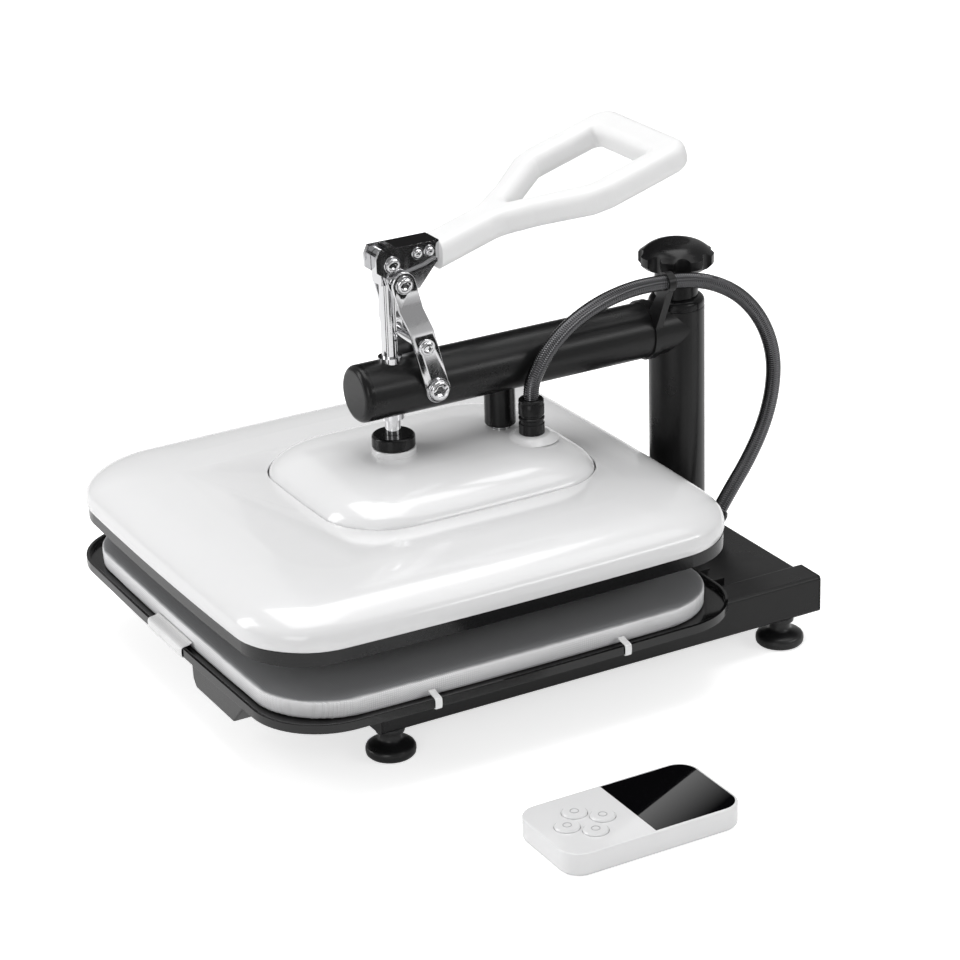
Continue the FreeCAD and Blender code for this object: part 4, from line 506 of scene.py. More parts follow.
def turned(name, spot, profile, segments=64, turn=(0, 0, 0)):
    """A filled circle drawn up ring by ring through (radius, height) pairs, then laid in its place."""
    radius, height = profile[0]
    piece = primitive("circle", name, vertices=segments, radius=radius * MM, fill_type="NGON",
                      location=(0, 0, height * MM))
    edit_all(piece, "FACE")
    for wide, tall in profile[1:]:
        lift((tall - height) * MM)
        widen(wide / radius, wide / radius, (0, 0, tall * MM))
        radius, height = wide, tall
    outwards(piece)
    piece.rotation_euler = turn
    piece.location = spot
    return settle(piece)


def outline_plate(name, half, corner, bow, centre, rings=14, cuts=15):
    """Flat plate with rounded corners and bowed sides, selected all over and open for extrusion."""
    inner = (half[0] - bow, half[1] - bow)
    piece = primitive("plane", name, size=2, location=centre)
    edit_all(piece)
    widen(*inner, centre)
    bpy.ops.mesh.bevel(offset=corner, segments=rings, affect="VERTICES")
    bpy.ops.mesh.delete(type="ONLY_FACE")
    bpy.ops.mesh.select_mode(type="EDGE")
    pick(piece, "EDGE", lambda edge: edge.calc_length() > corner * 0.6)
    bpy.ops.mesh.subdivide(number_cuts=cuts)
    mesh = bmesh.from_edit_mesh(piece.data)
    for vert in mesh.verts:
        across, back = (vert.co.x - centre.x) / inner[0], (vert.co.y - centre.y) / inner[1]
        vert.co.x += across * bow * (1 - back * back)
        vert.co.y += back * bow * (1 - across * across)
    bmesh.update_edit_mesh(piece.data)
    bpy.ops.mesh.select_all(action="SELECT")
    bpy.ops.mesh.edge_face_add()
    bpy.ops.mesh.select_mode(type="FACE")
    bpy.ops.mesh.select_all(action="SELECT")
    return piece


def prism(name, half, corner, bow, centre, height):
    piece = outline_plate(name, half, corner, bow, centre)
    lift(height)
    outwards(piece)
    return piece


# Shoulders: share of the height, share of the shoulder's width
COVER_SHOULDER = ((0, 0), (0.17, -0.015), (0.35, 0), (0.46, 0.028), (0.56, 0.075), (0.65, 0.135), (0.73, 0.208),
                  (0.8, 0.3), (0.86, 0.41), (0.91, 0.54), (0.96, 0.74), (1, 1))
PANEL_SHOULDER = ((0, 0), (0.2, 0.015), (0.38, 0.065), (0.5, 0.12), (0.61, 0.19), (0.71, 0.275), (0.8, 0.38),
                  (0.87, 0.5), (0.93, 0.65), (0.97, 0.8), (1, 1))


def rounded(profile, steps=4):
    """The profile again with points between, on a curve through all of them."""
    spots = [Vector(spot) for spot in profile]
    ends = [2 * spots[0] - spots[1]] + spots + [2 * spots[-1] - spots[-2]]
    line = [spots[0]]
    for before, start, end, after in zip(ends, ends[1:], ends[2:], ends[3:]):
        for number in range(1, steps + 1):
            t = number / steps
            line.append(0.5 * (2 * start + (end - before) * t + (2 * before - 5 * start + 4 * end - after) * t * t
                               + (3 * start - before - 3 * end + after) * t ** 3))
    return line


def moulding(name, half, corner, bow, centre, height, shoulder, profile):
    """Open shell drawn up from its outline through a rounded shoulder to a flat top."""
    piece = outline_plate(name, half, corner, bow, centre)
    rise, wide, deep = 0.0, half[0], half[1]
    for share, inward in rounded(profile)[1:]:
        next_wide, next_deep = half[0] - shoulder * inward, half[1] - shoulder * inward
        lift((share - rise) * height)
        widen(next_wide / wide, next_deep / deep, centre + Vector((0, 0, share * height)))
        rise, wide, deep = share, next_wide, next_deep
    pick(piece, "FACE", lambda face: face.calc_center_median().z < centre.z + 1e-5)
    bpy.ops.mesh.delete(type="FACE")
    outwards(piece)
    return piece


# -------------------- cover and raised panel

# Corner radius, bow of the sides and width of the shoulder, in metres
COVER_CORNER, COVER_BOW, COVER_RUN = 0.055, 0.0044, 0.06
PANEL_CORNER, PANEL_BOW, PANEL_RUN = 0.046, 0.003, 0.055
PANEL_HEIGHT = 0.0245
PANEL_GAP = 0.0004
WINDOW_DEPTH = 0.06
# Radii of the holes for the rods, and the heights that the drill runs between, in millimetres
ROD_HOLES = (("plunger_rod", 6.6), ("guide_rod", 7.6))
DRILL_FROM, DRILL_TO = 150, 180


class PRESS_OT_cover(bpy.types.Operator):
    """White moulded cover of the platen with its raised panel"""
    bl_idname = "press.cover"
    bl_label = "Cover and panel"

    def execute(self, context):
        wall = {"thickness": sizes().cover_wall, "offset": -1, "use_even_offset": True}
        bulge = -COVER_RUN * min(inward for _, inward in COVER_SHOULDER)
        half, base, height = footprint("platen_cover", bulge)
        wide, spot, _ = footprint("cover_panel")
        cover = moulding("moulded_cover", half, COVER_CORNER, COVER_BOW, base, height, COVER_RUN, COVER_SHOULDER)
        modify(cover, "SOLIDIFY", **wall)
        window = prism("window", (wide[0] + PANEL_GAP, wide[1] + PANEL_GAP), PANEL_CORNER, PANEL_BOW,
                       spot - Vector((0, 0, WINDOW_DEPTH / 3)), WINDOW_DEPTH)
        combined(cover, "DIFFERENCE", window)
        modify(cover, "BEVEL", width=0.0005, segments=2, limit_method="ANGLE", angle_limit=math.radians(50))
        smooth(cover, 40)
        fitted(cover, "platen", "shell_gloss", "white_plastic", "platen_cover")
        panel = moulding("raised_panel", wide, PANEL_CORNER, PANEL_BOW, spot, PANEL_HEIGHT, PANEL_RUN, PANEL_SHOULDER)
        modify(panel, "SOLIDIFY", **wall)
        top = spot.z / MM + PANEL_HEIGHT / MM
        ring = turned("plunger_ring", below("plunger_rod"),
                      [(17, top - 1), (17, top + 3.4), (16.8, top + 4), (16.2, top + 4.5)])
        seat = turned("gland_seat", below("platen_gland"),
                      [(20.5, top - 1.5), (17.4, top + 0.1), (15.2, top + 1.4), (13.9, top + 2.3), (13, top + 2.5)])
        combined(panel, "UNION", ring, seat)
        holes = [turned("hole", below(node), [(radius, DRILL_FROM), (radius, DRILL_TO)], 48)
                 for node, radius in ROD_HOLES]
        combined(panel, "DIFFERENCE", *holes)
        smooth(panel, 32)
        fitted(panel, "platen", "shell_gloss", "white_plastic", "cover_panel")
        return {"FINISHED"}


# -------------------- bed: pad, straps, band

PAD_CORNER, PAD_BOW = 0.054, 0.003
PAD_TOP_ROUND, PAD_FOOT_ROUND = 0.0018, 0.0012
PAD_GRAIN = 0.0025
SWELL_FRAMES = 20
# Straps and band in millimetres: width and thickness of the cloth, and where the straps cross the pan's sides
STRAP_WIDTH, STRAP_CLOTH = 5.5, 1.0
BAND_WIDTH, BAND_CLOTH, BAND_SHIFT = 61, 0.8, 4
STRAP_PLACES = (("front", -72), ("rear", 84))
PAN_BOW, PAN_MIDDLE, PAN_HALF = 3, 4, 192


def swollen(piece, cap):
    """Let the cloth skin swell over its filling, by a cloth simulation that may move it by the cap."""
    rest = [vert.co.copy() for vert in piece.data.vertices]
    focus(piece)
    cloth = piece.modifiers.new("Skin", "CLOTH")
    cloth.settings.quality = 4
    cloth.settings.mass = 0.3
    cloth.settings.tension_stiffness = 40
    cloth.settings.bending_stiffness = 6
    cloth.settings.use_pressure = True
    cloth.settings.uniform_pressure_force = 4
    cloth.settings.effector_weights.gravity = 0
    cloth.point_cache.frame_end = SWELL_FRAMES
    for number in range(1, SWELL_FRAMES + 1):
        bpy.context.scene.frame_set(number)
    bpy.ops.object.modifier_apply(modifier=cloth.name)
    bpy.context.scene.frame_set(1)
    for vert, before in zip(piece.data.vertices, rest):
        step = vert.co - before
        if step.length > cap:
            vert.co = before + step.normalized() * cap


def strip(name, side, profile, width, thick):
    """Band of cloth: an edge drawn along a profile of (out, height) pairs, then given its thickness.
    The side is the direction it looks, the width runs across that."""
    across = Vector((-side.y, side.x, 0))
    first, second = profile[:2]
    piece = primitive("plane", name, size=1)
    edit(piece)
    mesh = bmesh.from_edit_mesh(piece.data)
    corners = sorted(mesh.verts, key=lambda vert: (vert.co.x, vert.co.y))
    for vert, (pair, way) in zip(corners, ((first, -1), (first, 1), (second, -1), (second, 1))):
        vert.co = side * pair[0] * MM + across * way * width / 2 * MM + Vector((0, 0, pair[1] * MM))
    mesh.select_flush(True)
    bmesh.update_edit_mesh(piece.data)
    tip = {corners[2].index, corners[3].index}
    bpy.ops.mesh.select_mode(type="EDGE")
    pick(piece, "EDGE", lambda edge: {vert.index for vert in edge.verts} == tip)
    for (x0, z0), (x1, z1) in zip(profile[1:], profile[2:]):
        move = side * (x1 - x0) * MM + Vector((0, 0, (z1 - z0) * MM))
        bpy.ops.mesh.extrude_region_move(TRANSFORM_OT_translate={"value": tuple(move)})
    outwards(piece)
    edit(piece, "EDGE")
    pick(piece, "EDGE", lambda edge: edge.calc_length() > width * MM * 0.9)
    bpy.ops.mesh.subdivide(number_cuts=4 if width > 20 else 2)
    deselect()
    modify(piece, "SOLIDIFY", thickness=thick * MM, offset=0, use_even_offset=True)
    modify(piece, "BEVEL", width=thick * 0.3 * MM, segments=1, limit_method="ANGLE", angle_limit=math.radians(60))
    modify(piece, "SUBSURF", levels=2, render_levels=2)
    return piece


def make_pad():
    low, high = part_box("pad")
    swell = sizes().pad_swell
    half, base, tall = footprint("pad", swell)
    pad = prism("bed_pad", half, PAD_CORNER, PAD_BOW, base, tall - swell)
    edit(pad, "EDGE")
    pick(pad, "EDGE", lambda edge: all(vert.co.z > base.z + tall * 0.5 for vert in edge.verts))
    bpy.ops.mesh.bevel(offset=PAD_TOP_ROUND, segments=3, affect="EDGES")
    pick(pad, "EDGE", lambda edge: all(vert.co.z < base.z + 1e-5 for vert in edge.verts))
    bpy.ops.mesh.bevel(offset=PAD_FOOT_ROUND, segments=2, affect="EDGES")
    deselect()
    pad.data.remesh_voxel_size = PAD_GRAIN
    focus(pad)
    bpy.ops.object.voxel_remesh()
    swollen(pad, swell)
    for vert in pad.data.vertices:
        vert.co.z = min(max(vert.co.z, low.z), high.z + 0.0003)
    modify(pad, "SMOOTH", factor=0.4, iterations=1)
    focus(pad)
    bpy.ops.object.shade_smooth()
    fitted(pad, "tray", "pad_cloth", "pad_felt", "pad")


class PRESS_OT_bed(bpy.types.Operator):
    """Cloth-covered pad, elastic straps and the front band"""
    bl_idname = "press.bed"
    bl_label = "Bed"

    def execute(self, context):
        make_pad()
        low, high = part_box("pad")
        pan_low, pan_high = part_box("tray_pan")
        rim, under = pan_high.z / MM, pan_low.z / MM
        edge = (pan_high.x - pan_low.x) / 2 / MM
        pad_edge = (high.x - low.x) / 2 / MM
        for where, back in STRAP_PLACES:
            fall = PAN_BOW * ((back - PAN_MIDDLE) / PAN_HALF) ** 2 - 0.1
            out, inward = edge - fall, pad_edge - fall
            profile = [(inward + 0.9, rim + 2.6), (inward + 2.4, rim + 2.2), (inward + 5, rim + 1.2),
                       (out - 1.6, rim + 0.75), (out + 0.35, rim + 0.1), (out + 0.75, rim - 2.4),
                       (out + 0.65, under + 1.5), (out + 0.1, under - 0.45), (out - 3.4, under - 0.75),
                       (out - 9, under - 0.7)]
            for tag, way in (("left", -1), ("right", 1)):
                strap = strip(f"elastic_strap_{where}_{tag}", Vector((way, 0, 0)), profile, STRAP_WIDTH, STRAP_CLOTH)
                strap.location = at(0, back, 0)
                fitted(settle(strap), "tray", "elastic_cloth", "white_elastic", "pad_straps")

        tag_low, tag_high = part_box("fabric_tag")
        front, inner = (AXIS_Y - tag_low.y) / MM, (AXIS_Y - tag_high.y) / MM
        profile = [(inner + 0.2, rim + 2.4), (inner + 1.4, rim + 1.9), (inner + 3.2, rim + 0.9),
                   (front - 2.2, rim + 0.65), (front - 0.65, rim - 0.4), (front - 0.5, rim - 3),
                   (front - 0.55, under + 1.2), (front - 1.0, under - 0.45), (front - 4, under - 0.65),
                   (front - 9.5, under - 0.6)]
        band = strip("front_band", Vector((0, -1, 0)), profile, BAND_WIDTH, BAND_CLOTH)
        band.location = Vector(((tag_low.x + tag_high.x) / 2 + BAND_SHIFT * MM, AXIS_Y, 0))
        fitted(settle(band), "tray", "elastic_cloth", "white_elastic", "fabric_tag")
        return {"FINISHED"}


# -------------------- hose

HOSE_RADIUS = 0.006
HOSE_SIDES = 24
# Routes of the two runs in the press's millimetres, between their ends
HOSE_UPPER = ((30.0, 106.5, 206.0), (30.6, 112.3, 217.8), (31.1, 119.8, 229.2), (31.7, 130.0, 239.9),
              (32.2, 142.3, 249.2), (32.8, 156.5, 256.8), (33.3, 172.8, 262.6), (33.9, 191.0, 266.3),
              (34.4, 209.0, 267.4))
HOSE_LOWER = ((35.5, 239.5, 266.0), (37.5, 264.5, 260.0), (38.5, 290.5, 244.5), (40.5, 309.5, 220.5),
              (43.0, 318.5, 192.0), (44.5, 317.0, 163.0), (45.0, 308.0, 134.0), (45.0, 293.0, 107.6),
              (45.0, 277.01, 86.6))


def smooth_line(name, spots):
    """Points along a NURBS spline through a route."""
    curve = bpy.data.curves.new(name, "CURVE")
    curve.dimensions = "3D"
    curve.resolution_u = 16
    spline = curve.splines.new("NURBS")
    spline.points.add(len(spots) - 1)
    for point, spot in zip(spline.points, spots):
        point.co = (*spot, 1)
    spline.order_u = 3
    spline.use_endpoint_u = True
    thing = in_scene(name, curve)
    mesh = bpy.data.meshes.new_from_object(thing)
    line = [vert.co.copy() for vert in mesh.vertices]
    bpy.data.meshes.remove(mesh)
    removed(thing)
    return line


def walked(line, step):
    """The line again in even steps."""
    total = sum((b - a).length for a, b in zip(line, line[1:]))
    count = max(2, round(total / step))
    spots, done, leg = [], 0.0, 0
    for number in range(count + 1):
        want = total * number / count
        while leg < len(line) - 2 and done + (line[leg + 1] - line[leg]).length < want:
            done += (line[leg + 1] - line[leg]).length
            leg += 1
        part = line[leg + 1] - line[leg]
        spots.append(line[leg] + part * min(1.0, (want - done) / part.length))
    return spots, total


def conduit(name, line, radius, pitch, groove):
    """Ringed metal conduit along a line, each ring in four steps."""
    spots, total = walked(line, pitch / 4)
    mesh = bmesh.new()
    aim = (spots[1] - spots[0]).normalized()
    side = aim.orthogonal().normalized()
    rings = []
    for number, spot in enumerate(spots):
        ahead = spots[min(number + 1, len(spots) - 1)] - spots[max(number - 1, 0)]
        turn = aim.rotation_difference(ahead.normalized())
        side = (turn @ side).normalized()
        aim = ahead.normalized()
        other = aim.cross(side)
        depth = (0.0, 0.0, 0.5, 1.0)[number % 4] * groove
        angles = (2 * math.pi * step / HOSE_SIDES for step in range(HOSE_SIDES))
        rings.append([mesh.verts.new(spot + (side * math.cos(angle) + other * math.sin(angle)) * (radius - depth))
                      for angle in angles])
    for first, second in zip(rings, rings[1:]):
        for step in range(HOSE_SIDES):
            after = (step + 1) % HOSE_SIDES
            mesh.faces.new((first[step], first[after], second[after], second[step]))
    mesh.faces.new(list(reversed(rings[0])))
    mesh.faces.new(rings[-1])
    bmesh.ops.recalc_face_normals(mesh, faces=mesh.faces)
    data = bpy.data.meshes.new(name)
    mesh.to_mesh(data)
    mesh.free()
    piece = in_scene(name, data)
    smooth(piece, 50)
    return piece, spots, total


class PRESS_OT_hose(bpy.types.Operator):
    """Ringed hose from the platen over the clip to the rear housing"""
    bl_idname = "press.hose"
    bl_label = "Hose"

    def execute(self, context):
        # The two runs meet in the clip
        gland, outlet = at(30, 106.5, 198), at(45, 267, 72.3)
        ahead, behind = at(35, 225.85, 266.5), at(35, 226.15, 266.5)
        gland.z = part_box("platen_gland")[1].z - 0.0005
        for name, node, ends, route, bodies in (
                ("hose_upper_run", "hose_upper", (gland, ahead), HOSE_UPPER, ("platen", "arm")),
                ("hose_lower_run", "hose_lower", (behind, outlet), HOSE_LOWER, ("arm", "base"))):
            line = smooth_line(name, [ends[0]] + [at(*spot) for spot in route] + [ends[1]])
            piece, spots, total = conduit(name, line, HOSE_RADIUS, sizes().hose_pitch, sizes().hose_groove)
            dress(piece, "conduit_steel")
            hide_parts(node)
            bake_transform(piece, *bodies, start=tuple(ends[0]), end=tuple(ends[1]))
        return {"FINISHED"}


class PRESS_OT_gland(bpy.types.Operator):
    """Hose fitting on the raised panel"""
    bl_idname = "press.gland"
    bl_label = "Hose fitting"

    def execute(self, context):
        low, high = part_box("platen_gland")
        tall = high.z / MM - low.z / MM
        profile = [(9.2, 0), (9.9, 0.6), (9.9, tall * 0.3), (9.3, tall * 0.33), (9.3, tall * 0.4), (9.9, tall * 0.43),
                   (9.9, tall * 0.47), (8.9, tall * 0.5), (8.9, tall * 0.54), (9.9, tall * 0.57),
                   (9.9, tall * 0.84), (9.4, tall * 0.87), (9.4, tall * 0.9), (9.8, tall * 0.92), (9.6, tall - 0.8),
                   (8.8, tall), (6.4, tall), (6.2, tall - 2), (0.5, tall - 2)]
        gland = turned("panel_gland", below("platen_gland") + Vector((0, 0, low.z)), profile)
        smooth(gland, 35)
        fitted(gland, "platen", "moulded_black", "black_plastic", "platen_gland")
        return {"FINISHED"}


# -------------------- linkage

# Node of the pins, body, radius of the shank, radius and thickness of the head in millimetres
PINS = (("link_pivot", "arm", 5.9, 9, 4), ("tie_bolt", "links", 3.9, 6.5, 3),
        ("toggle_studs", "links", 3.9, 7, 3), ("lever_pin", "lever", 3.9, 6.5, 2.6))
HANDLE_BOLT_HEAD = 4.5


def softened(node, name, width):
    """A node's own plate again with its edges broken."""
    plate = in_scene(name, NODES[node].data.copy())
    plate.data.name = name
    outwards(plate)
    edit_all(plate)
    bpy.ops.mesh.dissolve_limited(angle_limit=math.radians(0.5))
    deselect()
    if plate.data.has_custom_normals:
        focus(plate)
        bpy.ops.mesh.customdata_custom_splitnormals_clear()
    modify(plate, "BEVEL", width=width, segments=2, limit_method="ANGLE", angle_limit=math.radians(40),
           use_clamp_overlap=True)
    smooth(plate, 35)
    modify(plate, "WEIGHTED_NORMAL", keep_sharp=True)
    return plate


def bolt(name, spot, reach, shank, head, thick, way):
    """Button-head bolt along X with a washer and a socket, its head's outer face at the reach."""
    inner = reach - thick
    washer = inner + thick * 0.32
    face = head - 3.2
    profile = [(shank, 0), (shank, inner), (head, inner), (head, washer - 0.15), (head - 0.15, washer),
               (head - 1.1, washer), (head - 1.1, washer + thick * 0.12), (head - 1.5, reach - thick * 0.22),
               (head - 2.3, reach - thick * 0.06), (face, reach)]
    piece = turned(name, spot, profile, 48, (0, way * math.pi / 2, 0))
    socket = primitive("cylinder", "socket", vertices=6, radius=face * 0.72 * MM, depth=thick * 1.1 * MM,
                       rotation=(0, math.pi / 2, 0), location=(way * reach * MM, 0, 0))
    socket.location = spot
    combined(piece, "DIFFERENCE", settle(socket))
    smooth(piece, 35)
    return piece


def bolt_ends(name, node, body, shift, shank, head, thick):
    """A bolt head on both ends of a pin."""
    low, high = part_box(node)
    spot, reach = (low + high) / 2 + Vector((0, shift, 0)), (high.x - low.x) / 2 / MM
    for tag, way in (("near", 1), ("far", -1)):
        piece = bolt(f"{name}_{tag}", spot, reach, shank, head, thick, way)
        fitted(piece, body, "turned_chrome", "zinc_steel", node)


class PRESS_OT_linkage(bpy.types.Operator):
    """Plates and bolts of the toggle linkage"""
    bl_idname = "press.linkage"
    bl_label = "Toggle linkage"

    def execute(self, context):
        for node, name, body in (("side_link_left", "link_plate_left", "links"),
                                 ("side_link_right", "link_plate_right", "links"),
                                 ("lever_bracket", "bracket_plate", "lever")):
            fitted(softened(node, name, sizes().plate_edge), body, "polished_chrome", "chrome", node)
        for node, body, shank, head, thick in PINS:
            bolt_ends(node, node, body, 0, shank, head, thick)
        low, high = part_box("handle_bolts")
        shift = (high.y - low.y) / 2 - HANDLE_BOLT_HEAD * MM
        for number, way in enumerate((-1, 1)):
            bolt_ends(f"handle_bolt_{number}", "handle_bolts", "lever", way * shift, 2.4, HANDLE_BOLT_HEAD, 2.4)
        return {"FINISHED"}


# -------------------- broken edges

# Finish, slot and width of the broken edge, and the nodes that get it
BROKEN_EDGES = (
    ("powder_coat", "black_paint", 0.0007, ("base_housing", "rail_left", "rail_right", "front_crossmember")),
    ("gloss_coat", "black_paint", 0.0005, ("tray_pan",)),
    ("gloss_coat", "black_plastic", 0.0016, ("tray_pull",)),
    ("moulded_black", "black_plastic", 0.0006, ("rail_plugs", "guide_sleeve", "plunger_collar", "switch_frame",
                                                "power_inlet", "clamp_knob")),
    ("moulded_black", "black_paint", 0.0008, ("column_cap",)),
)


class PRESS_OT_edges(bpy.types.Operator):
    """Broken edges on tubes, pressings and mouldings"""
    bl_idname = "press.edges"
    bl_label = "Broken edges"

    def execute(self, context):
        for finish, slot, width, names in BROKEN_EDGES:
            for name in names:
                fitted(softened(name, name + "_eased", width), body_of(NODES[name])[0], finish, slot, name)
        return {"FINISHED"}


# -------------------- feet

FEET = {"foot_fl": "foot_front_left", "foot_fr": "foot_front_right",
        "foot_rl": "foot_rear_left", "foot_rr": "foot_rear_right"}
# Radius and height, from the sole up through the neck and the flange to the end of the stem
FOOT_PROFILE = ((14.5, 0), (16.8, 0.6), (18.1, 2.0), (18.5, 4.2), (18.4, 6.6), (17.6, 8.2), (16.2, 9.3),
                (13.4, 10.4), (10.4, 11.3), (8.6, 12.3), (7.9, 13.6), (7.8, 18.6), (10.6, 19.2), (10.8, 20.0),
                (10.8, 22.8), (10.3, 23.7), (5, 23.9), (5, 36.5), (4.4, 37), (0.5, 37))


class PRESS_OT_feet(bpy.types.Operator):
    """Screw feet"""
    bl_idname = "press.feet"
    bl_label = "Feet"

    def execute(self, context):
        for body, node in FEET.items():
            foot = turned(node.replace("foot", "screw_foot"), below(node), FOOT_PROFILE)
            smooth(foot, 40)
            fitted(foot, body, "foot_rubber", "rubber", node)
        return {"FINISHED"}


# -------------------- control unit

class PRESS_OT_rings(bpy.types.Operator):
    """Rings on the round buttons"""
    bl_idname = "press.rings"
    bl_label = "Button rings"

    def execute(self, context):
        for tag in ("up", "down", "left", "right"):
            spot = middle("button_" + tag)
            spot.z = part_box("button_" + tag)[1].z
            ring = primitive("torus", "button_ring_" + tag, major_radius=0.0029, minor_radius=0.0003,
                             major_segments=40, minor_segments=10, location=spot)
            smooth(ring, 40)
            fitted(ring, "key_" + tag, "ring_grey", "white_plastic")
        return {"FINISHED"}


# -------------------- finishes of the nodes that stay

NODE_FINISH = {
    "powder_coat": ("drawer_runners", "housing_floor", "column_post", "column_sleeve", "arm_tube", "hose_clip"),
    "moulded_black": ("arm_cap", "base_gland", "power_switch"),
    "plate_coating": ("heat_plate",),
    "turned_chrome": ("plunger_rod", "guide_rod", "plunger_bush"),
    "zinc_plate": ("drawer_sliders", "knob_stud", "mounting_plate"),
    "sinter_bronze": ("swivel_bushes",),
    "handle_satin": ("handle",),
    "shell_gloss": ("control_base", "button_up", "button_down", "button_left", "button_right"),
    "face_glass": ("control_face", "display"),
    "mica_sheet": ("heating_element",),
    "needle_felt": ("insulation",),
}


class PRESS_OT_finishes(bpy.types.Operator):
    """Procedural finishes of the pieces that keep their own mesh"""
    bl_idname = "press.finishes"
    bl_label = "Finishes"

    def execute(self, context):
        for finish, names in NODE_FINISH.items():
            for name in names:
                dress(NODES[name], finish)
        return {"FINISHED"}


# -------------------- studio

CAMERA_SPOT = at(1862.6, -938.5, 1017.8)
CAMERA_TURN = (61.408, 22.822, -1.869)
CAMERA_LENS, CAMERA_SENSOR = 112.5, 36
# Strength of the floor and the background where the camera or gloss sees them, and of the world's light
FLOOR_SEEN, FLOOR_MIRRORED = 0.66, 0.15
WORLD_LIGHT, WORLD_SEEN = 0.36, 1.05


def aim_camera():
    azimuth, elevation, roll = (math.radians(number) for number in CAMERA_TURN)
    back = Vector((math.sin(azimuth) * math.cos(elevation), -math.cos(azimuth) * math.cos(elevation),
                   math.sin(elevation)))
    right = Vector((math.cos(azimuth), math.sin(azimuth), 0))
    up = back.cross(right)
    across = right * math.cos(roll) + up * math.sin(roll)
    upright = up * math.cos(roll) - right * math.sin(roll)
    camera = bpy.data.cameras.new("camera")
    camera.lens, camera.sensor_width = CAMERA_LENS, CAMERA_SENSOR
    thing = in_scene("camera", camera)
    thing.matrix_world = Matrix.Translation(CAMERA_SPOT) @ Matrix((across, upright, back)).transposed().to_4x4()
    bpy.context.scene.camera = thing


def facing(spot, target, axis):
    """Turn that points an axis from a spot to a target."""
    return (Vector(target) - Vector(spot)).to_track_quat(axis, "Y").to_euler()


def lamp(name, spot, target, size, power):
    light = bpy.data.lights.new(name, "AREA")
    light.shape, light.energy = "RECTANGLE", power
    light.size, light.size_y = size
    thing = in_scene(name, light)
    thing.location = spot
    thing.rotation_euler = facing(spot, target, "-Z")


def card(name, spot, turn, size, tone):
    """Plain card that only shows in gloss and metal."""
    piece = primitive("plane", name, size=1)
    piece.scale = (*size, 1)
    piece.rotation_euler = turn
    piece.location = spot
    settle(piece)
    material = bpy.data.materials.new(name)
    material.use_nodes = True
    tree = material.node_tree
    tree.nodes.clear()
    glow = place(tree, "ShaderNodeEmission", Color=(tone, tone, tone, 1), Strength=1.0)
    place(tree, "ShaderNodeOutputMaterial", Surface=glow.outputs[0])
    piece.data.materials.append(material)
    piece.visible_camera = piece.visible_diffuse = piece.visible_shadow = False
    return piece, glow


def turned_card(name, spot, target, size, tone):
    card(name, spot, facing(spot, target, "Z"), size, tone)


def flag(name, start, end, width, tone):
    """Dark card lying flat from one point to another."""
    along = end - start
    card(name, (start + end) / 2, (0, 0, math.atan2(along.y, along.x)), (along.length, width), tone)


def mirror_card(name, spots, reach, near, far):
    """Card seen in a level mirror at the four spots; its tone runs from the first side to the third."""
    piece, glow = card(name, (0, 0, 0), (0, 0, 0), (1, 1), 1.0)
    tones = piece.data.color_attributes.new(name="tone", type="FLOAT_COLOR", domain="POINT")
    around = sorted(piece.data.vertices, key=lambda vert: math.atan2(vert.co.y, vert.co.x))
    for vert, spot, tone in zip(around, spots, (near, near, far, far)):
        ray = (spot - CAMERA_SPOT).normalized()
        vert.co = spot + Vector((ray.x, ray.y, -ray.z)) * reach
        tones.data[vert.index].color = (tone, tone, tone, 1)
    piece.data.update()
    tree = piece.data.materials[0].node_tree
    painted = place(tree, "ShaderNodeVertexColor", settings={"layer_name": "tone"})
    tree.links.new(painted.outputs["Color"], glow.inputs["Color"])


def make_floor():
    floor = primitive("plane", "studio_floor", size=14, location=(0, 0, -0.0002))
    tree, _, shader = new_finish("studio_floor", chosen("floor"), Roughness=0.9, Specular_IOR_Level=0.1,
                                 Emission_Color=(1, 1, 1, 1))
    path = place(tree, "ShaderNodeLightPath").outputs
    mirrored = maths(tree, "MULTIPLY", path["Is Glossy Ray"], FLOOR_MIRRORED)
    glow = maths(tree, "MULTIPLY_ADD", path["Is Camera Ray"], FLOOR_SEEN, mirrored)
    tree.links.new(glow, shader.inputs["Emission Strength"])
    dress(floor, "studio_floor")


def make_world():
    world = bpy.data.worlds.new("studio")
    bpy.context.scene.world = world
    world.use_nodes = True
    tree = world.node_tree
    backdrop = tree.nodes["Background"]
    backdrop.inputs["Color"].default_value = (1, 1, 1, 1)
    seen = place(tree, "ShaderNodeLightPath").outputs["Is Camera Ray"]
    tree.links.new(spread(tree, seen, 0.0, 1.0, WORLD_LIGHT, WORLD_SEEN), backdrop.inputs["Strength"])


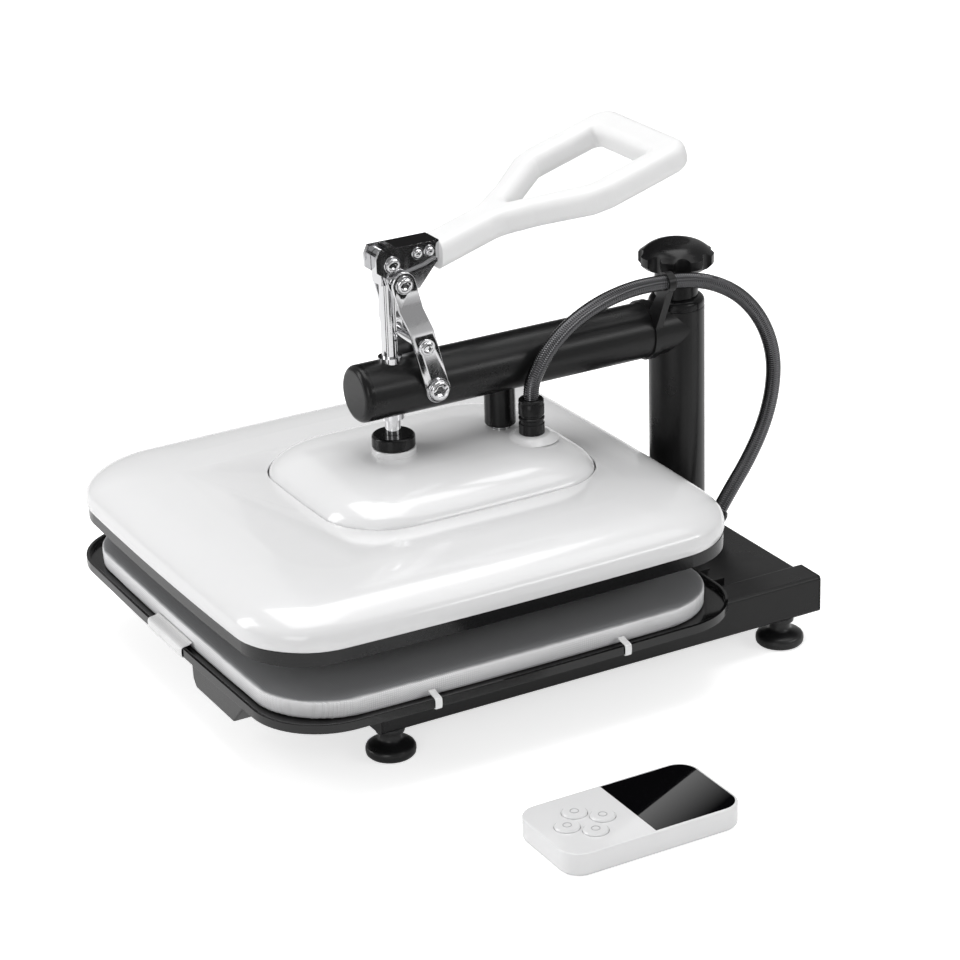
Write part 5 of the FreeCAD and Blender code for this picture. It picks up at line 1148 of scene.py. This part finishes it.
class PRESS_OT_stage(bpy.types.Operator):
    """Floor, lamps, background and camera"""
    bl_idname = "press.stage"
    bl_label = "Studio"

    def execute(self, context):
        context.scene.view_settings.view_transform = "Standard"
        aim_camera()
        make_floor()
        make_world()
        lamp("softbox_top", (-0.3, 0.1, 2.2), (0, 0, 0.1), (1.8, 1.8), 30)
        lamp("strip_right", (1.5, 1.3, 1.0), (-0.05, 0.1, 0.2), (1.4, 0.4), 7)
        lamp("fill_front", (1.7, -1.9, 0.9), (0, 0, 0.1), (1.2, 1.2), 10)
        lamp("strip_left", (-1.1, -1.7, 1.0), (-0.05, 0, 0.15), (0.7, 1.6), 13)
        turned_card("dark_card_front", (2.6, -2.2, 0.9), (0, 0, 0.2), (1.6, 1.6), 0.03)
        turned_card("dark_card_linkage", at(-420, 300, 700), at(300, 300, 700), (0.5, 0.8), 0.02)
        turned_card("white_card_right", at(560, 690, 1540), at(20, 30, 280), (0.9, 0.9), 1.6)
        flag("flag_near", at(545, -100, 4), at(545, 500, 4), 0.1, 0.02)
        flag("flag_far", at(1050, -150, 4), at(1050, 900, 4), 0.6, 0.02)
        flag("flag_front", at(190, -480, 4), at(430, -1150, 4), 0.12, 0.02)
        flag("flag_corner", at(420, -380, 4), at(880, -820, 4), 0.1, 0.03)
        shaded = [at(250, -60, 18), at(420, -60, 18), at(420, 140, 18), at(250, 140, 18)]
        glinting = [at(300, 95.5, 18), at(364.5, -37, 18), at(400.5, -19.5, 18), at(336, 113, 18)]
        mirror_card("glass_shade", shaded, 0.11, 0.0, 0.0)
        mirror_card("glass_glint", glinting, 0.1, 0.7, 0.0)
        return {"FINISHED"}


class PRESS_PT_sidebar(bpy.types.Panel):
    """Sizes, colours and steps of the press"""
    bl_idname = "PRESS_PT_sidebar"
    bl_label = "Heat press"
    bl_space_type = "VIEW_3D"
    bl_region_type = "UI"
    bl_category = "Heat press"

    def draw(self, context):
        for group in (context.scene.press_sizes, context.scene.press_colours):
            for name in group.__annotations__:
                self.layout.prop(group, name)
        for step in STEPS:
            self.layout.operator(step.bl_idname)


STEPS = (PRESS_OT_stage, PRESS_OT_hose, PRESS_OT_cover, PRESS_OT_bed, PRESS_OT_linkage, PRESS_OT_gland,
         PRESS_OT_edges, PRESS_OT_feet, PRESS_OT_rings, PRESS_OT_finishes)
CLASSES = (PressSizes, PressColours, *STEPS, PRESS_PT_sidebar)


def register():
    for item in CLASSES:
        bpy.utils.register_class(item)
    bpy.types.Scene.press_sizes = bpy.props.PointerProperty(type=PressSizes)
    bpy.types.Scene.press_colours = bpy.props.PointerProperty(type=PressColours)


def unregister():
    del bpy.types.Scene.press_colours
    del bpy.types.Scene.press_sizes
    for item in reversed(CLASSES):
        bpy.utils.unregister_class(item)


def main():
    register()
    make_finishes()
    for step in STEPS:
        getattr(bpy.ops.press, step.bl_idname.partition(".")[2])()


if __name__ == "__main__":
    main()
